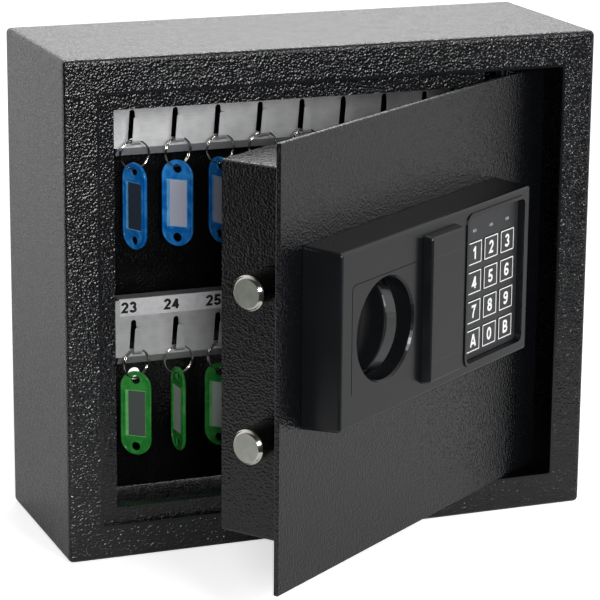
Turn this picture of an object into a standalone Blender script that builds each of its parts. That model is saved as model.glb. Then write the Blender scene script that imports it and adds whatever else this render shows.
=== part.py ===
"""Wall-mounted key cabinet with an electronic combination lock, its door standing open.

Metres, +Z up. X runs to the right as seen from the front and Y runs into the wall. The origin is the
middle of the back face, where the cabinet meets the wall. The door and all that it carries are laid
out as if it were shut, about an empty on the hinge line that turns them to the opening shown.
"""
import math

import bmesh
import bpy
from mathutils import Matrix, Vector

# Body: folded sheet with a face round the door opening
BODY_WIDTH = 0.334
BODY_HEIGHT = 0.300
BODY_DEPTH = 0.120
BODY_SHEET = 0.0020
BODY_EDGE_RADIUS = 0.0028
FACE_WIDTH = 0.021
OPENING_CORNER_RADIUS = 0.0015
SEAT_GAP = 0.0003
CUT_OVERRUN = 0.0015

# Stop angle behind the face, on three sides of the opening
STOP_SHEET = 0.0015
STOP_WIDTH = 0.0095
STOP_LIP_DEPTH = 0.0060
STOP_LAP = 0.0070
STOP_TO_HINGE = 0.0150
LUG_DEPTH = 0.0200
LUG_WIDTH = 0.0220
LUG_SHEET = 0.0020

# Back panel and its holes for the wall screws
BACK_SHEET = 0.0020
WALL_HOLE_DIAMETER = 0.0080
WALL_HOLE_SPREAD_X = 0.178
WALL_HOLE_SPREAD_Z = 0.147

# Door plate
PLATE_THICKNESS = 0.0030
PLATE_GAP_SIDE = 0.0015
PLATE_GAP_TOP = 0.0025
PLATE_GAP_BOTTOM = 0.0015
PLATE_SEAT_GAP = 0.0004
PLATE_EDGE_RADIUS = 0.0006
DOOR_OPEN_DEG = 35.3
HINGE_INSET = 0.0340
HINGE_DEPTH = 0.0110
HINGE_PIN_DIAMETER = 0.0060
HINGE_PIN_HEAD_DIAMETER = 0.0100
HINGE_PIN_HEAD_HEIGHT = 0.0020
HINGE_PIN_REACH = 0.0080
RUNNING_GAP = 0.0004

# Box of folded sheet on the back of the door
PAN_SHEET = 0.0015
PAN_END_INSET = 0.0220
PAN_DEPTH = 0.0520
PAN_FREE_INSET = 0.0250
PAN_HINGE_INSET = 0.0240
PAN_FLANGE = 0.0080
PAN_CORNER_RADIUS = 0.0020
SPINDLE_HOLE_DIAMETER = 0.0125
CABLE_HOLE_DIAMETER = 0.0140

# Locking bolts and the carrier they are riveted to
BOLT_DIAMETER = 0.0200
BOLT_CHAMFER = 0.0022
BOLT_STEP_DEPTH = 0.0012
BOLT_STEP_WIDTH = 0.0009
BOLT_SPACING = 0.0870
BOLT_MID_HEIGHT = -0.0020
BOLT_BEHIND_FRONT = 0.0215
BOLT_PROTRUSION = 0.0250
BOLT_TRAVEL = 0.0120
BOLT_RIVET_DIAMETER = 0.0080
BOLT_RIVET_HEIGHT = 0.0015
CARRIER_SHEET = 0.0020
CARRIER_FRONT_GAP = 0.0032
CARRIER_SETBACK = 0.0050
CARRIER_TOE = 0.0130
CARRIER_PAST_KNOB = 0.0265
CARRIER_TAIL_HEIGHT = 0.0560
CARRIER_GUIDE_SPACING = 0.0420
GUIDE_STUD_DIAMETER = 0.0050
GUIDE_HEAD_DIAMETER = 0.0090
GUIDE_HEAD_HEIGHT = 0.0016

# Lock housing on the front of the door
HOUSING_PAST_KEYPAD = 0.0090
HOUSING_END_MARGIN = 0.00825
HOUSING_DEPTH = 0.0240
HOUSING_DRAFT = 0.0017
HOUSING_WALL = 0.0030
HOUSING_EDGE_RADIUS = 0.0018
HOUSING_FREE_INSET = 0.0215
HOUSING_MID_HEIGHT = 0.0150
KNOB_RECESS_DIAMETER = 0.0580
KNOB_RECESS_DEPTH = 0.0160
KNOB_RECESS_LIP = 0.0012
KNOB_FROM_FREE_EDGE = 0.0690
KNOB_HEIGHT = 0.0137
PANEL_GROOVE_DEPTH = 0.0005
PANEL_GROOVE_WIDTH = 0.0006
PANEL_GROOVE_OUTSET_X = 0.0060
PANEL_GROOVE_OUTSET_Z = 0.0030
PANEL_GROOVE_DROP = 0.0010

# Turning knob with a domed grip
KNOB_DISC_HEIGHT = 0.0025
KNOB_GRIP_WIDTH = 0.0125
KNOB_GRIP_LENGTH = 0.0480
KNOB_GRIP_END_HEIGHT = 0.0074
KNOB_GRIP_MID_HEIGHT = 0.0164
KNOB_GRIP_ROUNDING = 0.0012
KNOB_REST_TILT_DEG = 13.0
KNOB_TURN_DEG = 90.0
SPINDLE_DIAMETER = 0.0080
CRANK_DISC_DIAMETER = 0.0260
CRANK_DISC_HEIGHT = 0.0025
CRANK_PIN_DIAMETER = 0.0050
CRANK_SLOT_CLEARANCE = 0.0005

# Keypad, sunk in a bezel
KEYPAD_WIDTH = 0.0650
KEYPAD_HEIGHT = 0.0875
KEYPAD_DEPTH = 0.0040
KEYPAD_DRAFT = 0.0015
KEYPAD_CORNER_RADIUS = 0.0035
KEYPAD_RIM_WIDTH = 0.0022
KEYPAD_RIM_HEIGHT = 0.0008
KEYPAD_FROM_FREE_EDGE = 0.1905
KEYPAD_MID_HEIGHT = 0.0153
OVERLAY_THICKNESS = 0.0010
KEY_WIDTH = 0.0155
KEY_HEIGHT = 0.0134
KEY_PITCH_X = 0.0190
KEY_PITCH_Z = 0.0176
KEY_THICKNESS = 0.0016
KEY_PROUD = 0.0005
KEY_TRAVEL = 0.0005
KEY_GAP = 0.0003
KEY_CORNER_RADIUS = 0.0010
KEY_BLOCK_DROP = 0.0062

# Pull-off cover over the emergency lock
COVER_WIDTH = 0.0370
COVER_HEIGHT = 0.0865
COVER_RISE = 0.0055
COVER_DRAFT = 0.0012
COVER_EDGE_RADIUS = 0.0010
COVER_WALL = 0.0016
COVER_FROM_FREE_EDGE = 0.1260
COVER_MID_HEIGHT = 0.0156
COVER_PEG_DIAMETER = 0.0040
COVER_PEG_LENGTH = 0.0050
COVER_LIFT = 0.0160
LOCK_BARREL_DIAMETER = 0.0180
LOCK_RIM_DIAMETER = 0.0215
LOCK_RIM_HEIGHT = 0.0015
LOCK_PLUG_DIAMETER = 0.0125
LOCK_PLUG_DEPTH = 0.0110
LOCK_KEYWAY_WIDTH = 0.0022
LOCK_KEYWAY_LENGTH = 0.0085
LOCK_KEYWAY_DEPTH = 0.0060
LOCK_TAIL_LENGTH = 0.0160
LOCK_HEIGHT = 0.0156

# Solenoid, board, battery and set-up button inside the door
SOLENOID_WIDTH = 0.0240
SOLENOID_HEIGHT = 0.0240
SOLENOID_DEPTH = 0.0180
PLUNGER_DIAMETER = 0.0050
PLUNGER_REACH = 0.0040
PLUNGER_TRAVEL = 0.0035
PLUNGER_HEAD_DIAMETER = 0.0080
PLUNGER_HEAD_HEIGHT = 0.0015
BOARD_WIDTH = 0.0560
BOARD_HEIGHT = 0.0700
BOARD_THICKNESS = 0.0016
BOARD_STAND_OFF = 0.0060
BATTERY_WIDTH = 0.0480
BATTERY_HEIGHT = 0.0265
BATTERY_DEPTH = 0.0175
BATTERY_BOX_WALL = 0.0015
BATTERY_ROOM = 0.0006
BATTERY_MID_FROM_FREE_EDGE = 0.1790
BATTERY_ABOVE_PAN_FOOT = 0.0370
LID_THICKNESS = 0.0016
LID_OVERLAP = 0.0030
LID_GRIP_WIDTH = 0.0120
LID_GRIP_HEIGHT = 0.0012
LID_LIFT = 0.0150
RESET_DIAMETER = 0.0070
RESET_PROUD = 0.0015
RESET_LENGTH = 0.0060
RESET_TRAVEL = 0.0010
RESET_FROM_HINGE_EDGE = 0.0600
RESET_BELOW_PAN_TOP = 0.0370

# Hook rails, carried by an upright at each end
RAIL_SHEET = 0.0010
RAIL_STAND_OFF = 0.0240
RAIL_PANEL_HEIGHT = 0.0265
RAIL_TOP_LIP = 0.0095
RAIL_FOOT_LIP = 0.0070
RAIL_FOOT_ANGLE_DEG = 40.0
RAIL_LENGTH = 0.2380
RAIL_LIP_LENGTH = 0.2120
RAIL_TOP_LEVEL = 0.1035
RAIL_LOWER_LEVEL = -0.0285
STRIP_HEIGHT = 0.0110
STRIP_THICKNESS = 0.0008
UPRIGHT_SHEET = 0.0015
UPRIGHT_FOOT = 0.0160
UPRIGHT_HEIGHT = 0.2050
UPRIGHT_FRONT_MARGIN = 0.0030
EAR_REACH = 0.0035
HOOK_COUNT = 8
HOOK_PITCH = 0.0276
HOOK_SHEET = 0.0010
HOOK_ROOT_WIDTH = 0.0054
HOOK_TIP_WIDTH = 0.0030
HOOK_RISE = 0.0165
HOOK_REACH = 0.0080
SLOT_HEIGHT = 0.0195
SLOT_ABOVE_FOOT = 0.0040
SLOT_SIDE_GAP = 0.0002

# Split rings and key tags
RING_DIAMETER = 0.0190
RING_WIRE_DIAMETER = 0.0009
RING_TURN_GAP = 0.0005
RING_TURNS = 2
RING_POINTS_PER_TURN = 24
RING_LEAST_GAP = 0.0004
TAG_LENGTH = 0.0540
TAG_WIDTH = 0.0200
TAG_THICKNESS = 0.0028
TAG_END_THICKNESS = 0.0014
TAG_END_LENGTH = 0.0110
TAG_HOLE_DIAMETER = 0.0060
TAG_HOLE_INSET = 0.0054
TAG_HANG_LIFT = 0.0010
TAG_WINDOW_WIDTH = 0.0122
TAG_WINDOW_HEIGHT = 0.0300
TAG_WINDOW_DEPTH = 0.0004
TAG_EDGE_RADIUS = 0.0005
# Rail, hook number, turn of the ring and turn of the tag about the vertical
TAG_PLACES = (
    ("blue", "top", 0, 0.0, 64.0),
    ("blue", "top", 1, 16.0, 38.0),
    ("blue", "top", 2, 6.0, 69.0),
    ("blue", "top", 3, 4.0, 60.0),
    ("blue", "top", 4, 10.0, 48.0),
    ("green", "lower", 0, 16.0, 38.0),
    ("green", "lower", 1, 0.0, 86.0),
    ("green", "lower", 2, 14.0, 42.0),
)

# Curves and rounding
ROUND_STEPS = 32
SMALL_ROUND_STEPS = 16
HOLE_STEPS = 24
CORNER_STEPS = 3
WELD = 0.00001
SMOOTH_DEG = 35.0

# Places that follow from the sizes above
FRONT = -BODY_DEPTH
OPENING_LEFT = -BODY_WIDTH / 2 + FACE_WIDTH
OPENING_RIGHT = BODY_WIDTH / 2 - FACE_WIDTH
OPENING_BOTTOM = -BODY_HEIGHT / 2 + FACE_WIDTH
OPENING_TOP = BODY_HEIGHT / 2 - FACE_WIDTH
PLATE_LEFT = OPENING_LEFT + PLATE_GAP_SIDE
PLATE_RIGHT = OPENING_RIGHT - PLATE_GAP_SIDE
PLATE_BOTTOM = OPENING_BOTTOM + PLATE_GAP_BOTTOM
PLATE_TOP = OPENING_TOP - PLATE_GAP_TOP
PLATE_BACK = FRONT + PLATE_THICKNESS
STOP_FRONT = PLATE_BACK + PLATE_SEAT_GAP
HINGE = Vector((PLATE_RIGHT - HINGE_INSET, FRONT + HINGE_DEPTH, 0))
PAN_FRONT = PLATE_BACK + SEAT_GAP
PAN_BACK = PAN_FRONT + PAN_DEPTH
PAN_LEFT = PLATE_LEFT + PAN_FREE_INSET
PAN_RIGHT = PLATE_RIGHT - PAN_HINGE_INSET
PAN_HEIGHT = OPENING_TOP - OPENING_BOTTOM - 2 * PAN_END_INSET
HOUSING_FRONT = FRONT - SEAT_GAP - HOUSING_DEPTH
KNOB_X = PLATE_LEFT + KNOB_FROM_FREE_EDGE
KEYPAD_X = PLATE_LEFT + KEYPAD_FROM_FREE_EDGE
HOUSING_LEFT = PLATE_LEFT + HOUSING_FREE_INSET
HOUSING_RIGHT = KEYPAD_X + KEYPAD_WIDTH / 2 + HOUSING_PAST_KEYPAD
HOUSING_WIDTH = HOUSING_RIGHT - HOUSING_LEFT
HOUSING_HEIGHT = KEYPAD_HEIGHT + 2 * HOUSING_END_MARGIN
HOUSING_MID_X = (HOUSING_LEFT + HOUSING_RIGHT) / 2
COVER_X = PLATE_LEFT + COVER_FROM_FREE_EDGE
CRANK_RADIUS = BOLT_TRAVEL / (2 * math.sin(math.radians(KNOB_TURN_DEG / 2)))
CARRIER_FRONT = PLATE_BACK + CARRIER_FRONT_GAP
BOLT_Y = FRONT + BOLT_BEHIND_FRONT
CARRIER_X = PAN_LEFT + PAN_SHEET + CARRIER_SETBACK
CARRIER_RIGHT = KNOB_X + CARRIER_PAST_KNOB
BATTERY_X = PLATE_LEFT + BATTERY_MID_FROM_FREE_EDGE
BATTERY_MID_HEIGHT = BATTERY_ABOVE_PAN_FOOT - PAN_HEIGHT / 2
RESET_HEIGHT = PAN_HEIGHT / 2 - RESET_BELOW_PAN_TOP
BACK_INNER = -BACK_SHEET
RAIL_FRONT = BACK_INNER - RAIL_STAND_OFF
TOP_Z = Vector((0, 0, 1))

for old in list(bpy.data.objects):
    bpy.data.objects.remove(old, do_unlink=True)
PARTS = bpy.data.collections.new("key_cabinet")
CUTTERS = bpy.data.collections.new("key_cabinet_cutters")
for group in (PARTS, CUTTERS):
    bpy.context.scene.collection.children.link(group)


def material(name, colour, roughness, metallic=0.0):
    """A Principled material of one plain colour."""
    made = bpy.data.materials.new(name)
    made.use_nodes = True
    shader = made.node_tree.nodes["Principled BSDF"]
    shader.inputs["Base Color"].default_value = (*colour, 1)
    shader.inputs["Roughness"].default_value = roughness
    shader.inputs["Metallic"].default_value = metallic
    return made


COAT = material("hammered_powder_coat", (0.045, 0.047, 0.052), 0.45)
ABS = material("satin_black_abs", (0.035, 0.036, 0.042), 0.4)
GALVANISED = material("galvanised_steel", (0.62, 0.63, 0.65), 0.35, 1.0)
CHROME = material("nickel_plated_steel", (0.78, 0.77, 0.74), 0.12, 1.0)
ZINC = material("zinc_plated_steel", (0.5, 0.5, 0.5), 0.4, 1.0)
OVERLAY = material("keypad_overlay", (0.06, 0.06, 0.065), 0.5)
KEYCAP = material("keycap", (0.08, 0.08, 0.085), 0.45)
STRIP = material("number_strip_white", (0.82, 0.82, 0.82), 0.4)
BLUE = material("blue_tag_plastic", (0.03, 0.27, 0.62), 0.3)
GREEN = material("green_tag_plastic", (0.06, 0.4, 0.12), 0.3)
BRASS = material("brass", (0.7, 0.52, 0.24), 0.3, 1.0)
BOARD = material("board_green", (0.03, 0.2, 0.09), 0.5)
CELL = material("battery_wrap", (0.08, 0.08, 0.1), 0.35)
RED = material("reset_button_red", (0.5, 0.03, 0.03), 0.4)


def link(name, mesh, at=(0, 0, 0), look=None, parent=None):
    """Links a mesh as a part, or as a cutter when it has no look, at a place in the shut cabinet."""
    part = bpy.data.objects.new(name, mesh)
    (PARTS if look else CUTTERS).objects.link(part)
    if look:
        mesh.materials.clear()
        mesh.materials.append(look)
    else:
        part.hide_render = True
        part.display_type = "WIRE"
    part.location = Vector(at)
    if parent:
        part.parent = parent
        part.location -= Vector(parent["shut_at"])
    return part


def empty(name, at, parent=None):
    """An empty that carries a moving body, and remembers its place with the door shut."""
    guide = bpy.data.objects.new(name, None)
    PARTS.objects.link(guide)
    guide["shut_at"] = tuple(at)
    guide.location = Vector(at)
    if parent:
        guide.parent = parent
        guide.location -= Vector(parent["shut_at"])
    return guide


def finish_mesh(bm, name):
    """Writes a bmesh to a mesh that is shaded smooth between its sharp edges."""
    bmesh.ops.recalc_face_normals(bm, faces=bm.faces)
    mesh = bpy.data.meshes.new(name)
    bm.to_mesh(mesh)
    bm.free()
    mesh.shade_smooth()
    mesh.set_sharp_from_angle(angle=math.radians(SMOOTH_DEG))
    return mesh


def box_mesh(name, size, radius=0.0, draft=0.0, edges=None, steps=CORNER_STEPS):
    """A box about its middle; draft narrows its front (-Y) face; edges picks the rounded ones."""
    bm = bmesh.new()
    bmesh.ops.create_cube(bm, size=1)
    bmesh.ops.scale(bm, vec=size, verts=bm.verts)
    for vert in bm.verts:
        if draft and vert.co.y < 0:
            vert.co.x -= math.copysign(draft, vert.co.x)
            vert.co.z -= math.copysign(draft, vert.co.z)
    if radius:
        chosen = [edge for edge in bm.edges if edges is None or edges(edge)]
        bmesh.ops.bevel(bm, geom=chosen, offset=radius, segments=steps, profile=0.5, affect="EDGES",
                        clamp_overlap=True)
    return finish_mesh(bm, name)


def front_or_deep(edge):
    """Edges of the front face, and those that run from front to back."""
    a, b = (vert.co for vert in edge.verts)
    return (a.y < 0 and b.y < 0) or abs(a.y - b.y) > abs(a.x - b.x) + abs(a.z - b.z)


def deep(edge):
    """Edges that run from front to back."""
    a, b = (vert.co for vert in edge.verts)
    return abs(a.y - b.y) > abs(a.x - b.x) + abs(a.z - b.z)


def span_box(name, low, high, look=None, parent=None, **shape):
    """A box between two corners."""
    low, high = Vector(low), Vector(high)
    return link(name, box_mesh(name, high - low, **shape), (low + high) / 2, look, parent)


def cylinder_mesh(name, diameter, length, axis="Y", steps=HOLE_STEPS):
    """A closed cylinder about its middle."""
    bm = bmesh.new()
    bmesh.ops.create_cone(bm, cap_ends=True, segments=steps, radius1=diameter / 2, radius2=diameter / 2,
                          depth=length)
    turn = {"X": Matrix.Rotation(math.pi / 2, 3, "Y"), "Y": Matrix.Rotation(math.pi / 2, 3, "X"),
            "Z": Matrix.Identity(3)}[axis]
    bmesh.ops.rotate(bm, matrix=turn, verts=bm.verts)
    return finish_mesh(bm, name)


def cylinder(name, diameter, start, end, look=None, parent=None, steps=HOLE_STEPS):
    """A cylinder from one point to another along a main axis."""
    start, end = Vector(start), Vector(end)
    run = end - start
    axis = "XYZ"[max(range(3), key=lambda n: abs(run[n]))]
    return link(name, cylinder_mesh(name, diameter, run.length, axis, steps), (start + end) / 2, look,
                parent)


PLANES = {
    "XY": Matrix.Identity(4),
    "XZ": Matrix.Rotation(math.pi / 2, 4, "X"),
    "YZ": Matrix(((0, 0, 1, 0), (1, 0, 0, 0), (0, 1, 0, 0), (0, 0, 0, 1))),
}


def outline_mesh(name, loops, thickness, plane="XZ"):
    """A flat outline with any holes, given half the thickness to each side."""
    curve = bpy.data.curves.new(name, "CURVE")
    curve.dimensions = "2D"
    curve.fill_mode = "BOTH"
    curve.extrude = thickness / 2
    for loop in loops:
        spline = curve.splines.new("POLY")
        spline.points.add(len(loop) - 1)
        for point, (x, y) in zip(spline.points, loop):
            point.co = (x, y, 0, 1)
        spline.use_cyclic_u = True
    return curve_to_mesh(name, curve, PLANES[plane])


def curve_to_mesh(name, curve, turn=None):
    """Turns a curve into a welded mesh and removes the curve."""
    holder = bpy.data.objects.new(name, curve)
    CUTTERS.objects.link(holder)
    graph = bpy.context.evaluated_depsgraph_get()
    mesh = bpy.data.meshes.new_from_object(holder.evaluated_get(graph))
    bpy.data.objects.remove(holder, do_unlink=True)
    bpy.data.curves.remove(curve)
    bm = bmesh.new()
    bm.from_mesh(mesh)
    bpy.data.meshes.remove(mesh)
    bmesh.ops.remove_doubles(bm, verts=bm.verts, dist=WELD)
    if turn:
        bmesh.ops.transform(bm, matrix=turn, verts=bm.verts)
    return finish_mesh(bm, name)


def rounded_loop(width, height, radius, middle=(0, 0), steps=CORNER_STEPS):
    """Points round a rectangle with rounded corners."""
    loop = []
    for sign_x, sign_y, start in ((1, 1, 0), (-1, 1, 90), (-1, -1, 180), (1, -1, 270)):
        cx = middle[0] + sign_x * (width / 2 - radius)
        cy = middle[1] + sign_y * (height / 2 - radius)
        for step in range(steps + 1):
            angle = math.radians(start + 90 * step / steps)
            loop.append((cx + radius * math.cos(angle), cy + radius * math.sin(angle)))
    return loop


def circle_loop(diameter, middle=(0, 0), steps=HOLE_STEPS):
    """Points round a circle."""
    return [(middle[0] + diameter / 2 * math.cos(2 * math.pi * n / steps),
             middle[1] + diameter / 2 * math.sin(2 * math.pi * n / steps)) for n in range(steps)]


def box_loop(left, right, low, high):
    """The four corners of a rectangle."""
    return [(left, low), (right, low), (right, high), (left, high)]


def ribbon(points, thickness):
    """The outline of a strip of sheet whose left side follows the points."""
    offset = []
    for n, (x, y) in enumerate(points):
        before = Vector(points[n]) - Vector(points[n - 1]) if n else None
        after = Vector(points[n + 1]) - Vector(points[n]) if n + 1 < len(points) else None
        first = (before or after).normalized()
        second = (after or before).normalized()
        across = Vector((first.y, -first.x)) + Vector((second.y, -second.x))
        across *= thickness / (1 + first.dot(second))
        offset.append((x + across.x, y + across.y))
    return list(points) + offset[::-1]


def turned_mesh(name, profile, steps=ROUND_STEPS):
    """A solid of revolution about Z from (radius, height) points that run from the top down."""
    mesh = bpy.data.meshes.new(name)
    mesh.from_pydata([(radius, 0, height) for radius, height in profile],
                     [(n, n + 1) for n in range(len(profile) - 1)], [])
    holder = bpy.data.objects.new(name, mesh)
    CUTTERS.objects.link(holder)
    screw = holder.modifiers.new("turn", "SCREW")
    screw.steps = screw.render_steps = steps
    screw.use_merge_vertices = True
    screw.merge_threshold = WELD
    graph = bpy.context.evaluated_depsgraph_get()
    turned = bpy.data.meshes.new_from_object(holder.evaluated_get(graph))
    bpy.data.objects.remove(holder, do_unlink=True)
    bm = bmesh.new()
    bm.from_mesh(turned)
    bpy.data.meshes.remove(turned)
    bmesh.ops.remove_doubles(bm, verts=bm.verts, dist=WELD)
    return finish_mesh(bm, name)


def combine(part, tool, operation="DIFFERENCE"):
    """Cuts one piece with another, or joins it on."""
    step = part.modifiers.new(operation.lower(), "BOOLEAN")
    step.operation = operation
    step.object = tool
    step.solver = "EXACT"
    return part


def turn_mesh(mesh, axis, degrees):
    """Turns a mesh about its own origin."""
    mesh.transform(Matrix.Rotation(math.radians(degrees), 4, axis))
    return mesh


# Body: folded shell with a face round the opening
shell = link("body_shell", box_mesh("body_shell", (BODY_WIDTH, BODY_DEPTH, BODY_HEIGHT), BODY_EDGE_RADIUS,
                                    edges=front_or_deep), (0, -BODY_DEPTH / 2, 0), COAT)
cavity = span_box("shell_cavity", (-BODY_WIDTH / 2 + BODY_SHEET, FRONT + BODY_SHEET,
                                   -BODY_HEIGHT / 2 + BODY_SHEET),
                  (BODY_WIDTH / 2 - BODY_SHEET, CUT_OVERRUN, BODY_HEIGHT / 2 - BODY_SHEET))
opening = link("shell_opening", outline_mesh("shell_opening", [rounded_loop(
    OPENING_RIGHT - OPENING_LEFT, OPENING_TOP - OPENING_BOTTOM, OPENING_CORNER_RADIUS)],
    2 * (BODY_SHEET + CUT_OVERRUN)), (0, FRONT, 0))
combine(shell, cavity)
combine(shell, opening)

# Stop angle on three sides, with the two hinge lugs at its hinge end
STOP_END_X = HINGE.x - STOP_TO_HINGE
LUG_END_X = HINGE.x + LUG_WIDTH / 2
STOP_BACK = STOP_FRONT + STOP_SHEET
LAP_FRONT = FRONT + BODY_SHEET + SEAT_GAP


def three_sides(outer, inner, end_x):
    """A C-shaped band round the opening, open on the hinge side, from one inset to another."""
    return [(end_x, OPENING_TOP - inner), (OPENING_LEFT + inner, OPENING_TOP - inner),
            (OPENING_LEFT + inner, OPENING_BOTTOM + inner), (end_x, OPENING_BOTTOM + inner),
            (end_x, OPENING_BOTTOM + outer), (OPENING_LEFT + outer, OPENING_BOTTOM + outer),
            (OPENING_LEFT + outer, OPENING_TOP - outer), (end_x, OPENING_TOP - outer)]


def band(name, outer, inner, end_x, front, back, look=None):
    """The C-shaped band as a solid between two depths."""
    mesh = outline_mesh(name, [three_sides(outer, inner, end_x)], back - front)
    return link(name, mesh, (0, (front + back) / 2, 0), look)


stop = band("stop_frame", -STOP_LAP, -SEAT_GAP, LUG_END_X, LAP_FRONT, STOP_BACK, COAT)
combine(stop, band("stop_face", -STOP_LAP / 2, STOP_WIDTH, STOP_END_X, STOP_FRONT, STOP_BACK), "UNION")
combine(stop, band("stop_lip", STOP_WIDTH - STOP_SHEET, STOP_WIDTH, STOP_END_X,
                   (STOP_FRONT + STOP_BACK) / 2,
                   STOP_BACK + STOP_LIP_DEPTH), "UNION")
for side, level in (("top", OPENING_TOP), ("bottom", OPENING_BOTTOM)):
    outward = math.copysign(1, level)
    near, far = sorted((level + outward * SEAT_GAP, level + outward * (SEAT_GAP + LUG_SHEET)))
    combine(stop, span_box("lug_" + side, (HINGE.x - LUG_WIDTH / 2, (LAP_FRONT + STOP_BACK) / 2, near),
                           (LUG_END_X, LAP_FRONT + LUG_DEPTH, far), radius=PLATE_EDGE_RADIUS, steps=1),
            "UNION")
    combine(stop, cylinder("lug_hole_" + side, HINGE_PIN_DIAMETER + 2 * SEAT_GAP,
                           (HINGE.x, HINGE.y, near - CUT_OVERRUN), (HINGE.x, HINGE.y, far + CUT_OVERRUN)))
    head_start = level + outward * (2 * SEAT_GAP + LUG_SHEET)
    pin_profile = [(0, HINGE_PIN_HEAD_HEIGHT), (HINGE_PIN_HEAD_DIAMETER / 2, HINGE_PIN_HEAD_HEIGHT),
                   (HINGE_PIN_HEAD_DIAMETER / 2, 0), (HINGE_PIN_DIAMETER / 2, 0),
                   (HINGE_PIN_DIAMETER / 2, PAN_HEIGHT / 2 - HINGE_PIN_REACH - abs(head_start)),
                   (0, PAN_HEIGHT / 2 - HINGE_PIN_REACH - abs(head_start))]
    pin = link("hinge_pin_" + side, turned_mesh("hinge_pin_" + side, pin_profile, HOLE_STEPS),
               (HINGE.x, HINGE.y, head_start), ZINC)
    if outward < 0:
        pin.rotation_euler.x = math.pi

# Back panel with four holes for the wall screws
back_loops = [rounded_loop(BODY_WIDTH - 2 * (BODY_SHEET + SEAT_GAP),
                           BODY_HEIGHT - 2 * (BODY_SHEET + SEAT_GAP),
                           SEAT_GAP, steps=1)]
for hole_x in (-WALL_HOLE_SPREAD_X / 2, WALL_HOLE_SPREAD_X / 2):
    for hole_z in (-WALL_HOLE_SPREAD_Z / 2, WALL_HOLE_SPREAD_Z / 2):
        back_loops.append(circle_loop(WALL_HOLE_DIAMETER, (hole_x, hole_z)))
link("back_panel", outline_mesh("back_panel", back_loops, BACK_SHEET), (0, -BACK_SHEET / 2, 0), COAT)


# Hook rails: a panel with a lip bent back at the top, a slanted foot and lanced hooks
HOOK_FIRST_X = -HOOK_PITCH * (HOOK_COUNT - 1) / 2
FOOT_ANGLE = math.radians(RAIL_FOOT_ANGLE_DEG)
HOOK_BEND = HOOK_SHEET * 2


def hook_mesh(name):
    """Eight lanced hooks: each runs forward from the panel, turns up and narrows to its tip."""
    arc = [(-HOOK_REACH + HOOK_BEND - HOOK_BEND * math.sin(turn), HOOK_BEND - HOOK_BEND * math.cos(turn))
           for turn in (math.pi / 2 * n / CORNER_STEPS for n in range(CORNER_STEPS + 1))]
    path = [(RAIL_SHEET / 2, 0)] + arc + [(-HOOK_REACH, HOOK_RISE)]
    shape = outline_mesh(name, [ribbon(path, -HOOK_SHEET)], HOOK_ROOT_WIDTH, "YZ")
    bm = bmesh.new()
    bm.from_mesh(shape)
    for vert in bm.verts:
        share = max(0, vert.co.z - HOOK_BEND) / (HOOK_RISE - HOOK_BEND)
        vert.co.x *= 1 + share * (HOOK_TIP_WIDTH / HOOK_ROOT_WIDTH - 1)
    tips = [edge for edge in bm.edges if all(vert.co.z > HOOK_RISE - WELD for vert in edge.verts)
            and abs(edge.verts[0].co.x - edge.verts[1].co.x) < WELD]
    bmesh.ops.bevel(bm, geom=tips, offset=HOOK_TIP_WIDTH / 3, segments=CORNER_STEPS, profile=0.5,
                    affect="EDGES")
    first = bm.verts[:] + bm.edges[:] + bm.faces[:]
    bmesh.ops.translate(bm, vec=(HOOK_FIRST_X, 0, 0), verts=bm.verts)
    for n in range(1, HOOK_COUNT):
        copy = bmesh.ops.duplicate(bm, geom=first)
        moved = [item for item in copy["geom"] if isinstance(item, bmesh.types.BMVert)]
        bmesh.ops.translate(bm, vec=(n * HOOK_PITCH, 0, 0), verts=moved)
    return finish_mesh(bm, name)


def slot_loops():
    """The slots that the hooks are lanced from, round at the top, about the first hook's root."""
    loops = []
    foot = HOOK_ROOT_WIDTH / 2 + SLOT_SIDE_GAP
    tip = HOOK_TIP_WIDTH / 2 + SLOT_SIDE_GAP
    for n in range(HOOK_COUNT):
        x = HOOK_FIRST_X + n * HOOK_PITCH
        cap = [(x + tip * math.cos(math.pi * s / CORNER_STEPS / 2), SLOT_HEIGHT - tip
                + tip * math.sin(math.pi * s / CORNER_STEPS / 2)) for s in range(2 * CORNER_STEPS + 1)]
        loops.append([(x - foot, HOOK_SHEET), (x + foot, HOOK_SHEET)] + cap)
    return loops


def hook_rail(name, top, strip=0.0):
    """A rail whose panel's top edge is at a height, with room above it for a number strip."""
    foot = top - strip - RAIL_PANEL_HEIGHT
    root = foot + SLOT_ABOVE_FOOT
    rail = span_box(name, (-RAIL_LENGTH / 2, RAIL_FRONT, foot), (RAIL_LENGTH / 2, RAIL_FRONT + RAIL_SHEET,
                    top - RAIL_SHEET), GALVANISED)
    path = [(RAIL_TOP_LIP, top), (0, top), (0, foot),
            (RAIL_FOOT_LIP * math.sin(FOOT_ANGLE), foot - RAIL_FOOT_LIP * math.cos(FOOT_ANGLE))]
    lips = link(name + "_lips", outline_mesh(name + "_lips", [ribbon(path, -RAIL_SHEET)], RAIL_LIP_LENGTH,
                                             "YZ"),
                (0, RAIL_FRONT, 0))
    combine(rail, lips, "UNION")
    slots = link(name + "_slots", outline_mesh(name + "_slots", slot_loops(), RAIL_SHEET + 2 * CUT_OVERRUN),
                 (0, RAIL_FRONT + RAIL_SHEET / 2, root))
    combine(rail, slots)
    hooks = link(name + "_hooks", hook_mesh(name + "_hooks"), (0, RAIL_FRONT, root))
    combine(rail, hooks, "UNION")
    return rail, root, foot


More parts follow.
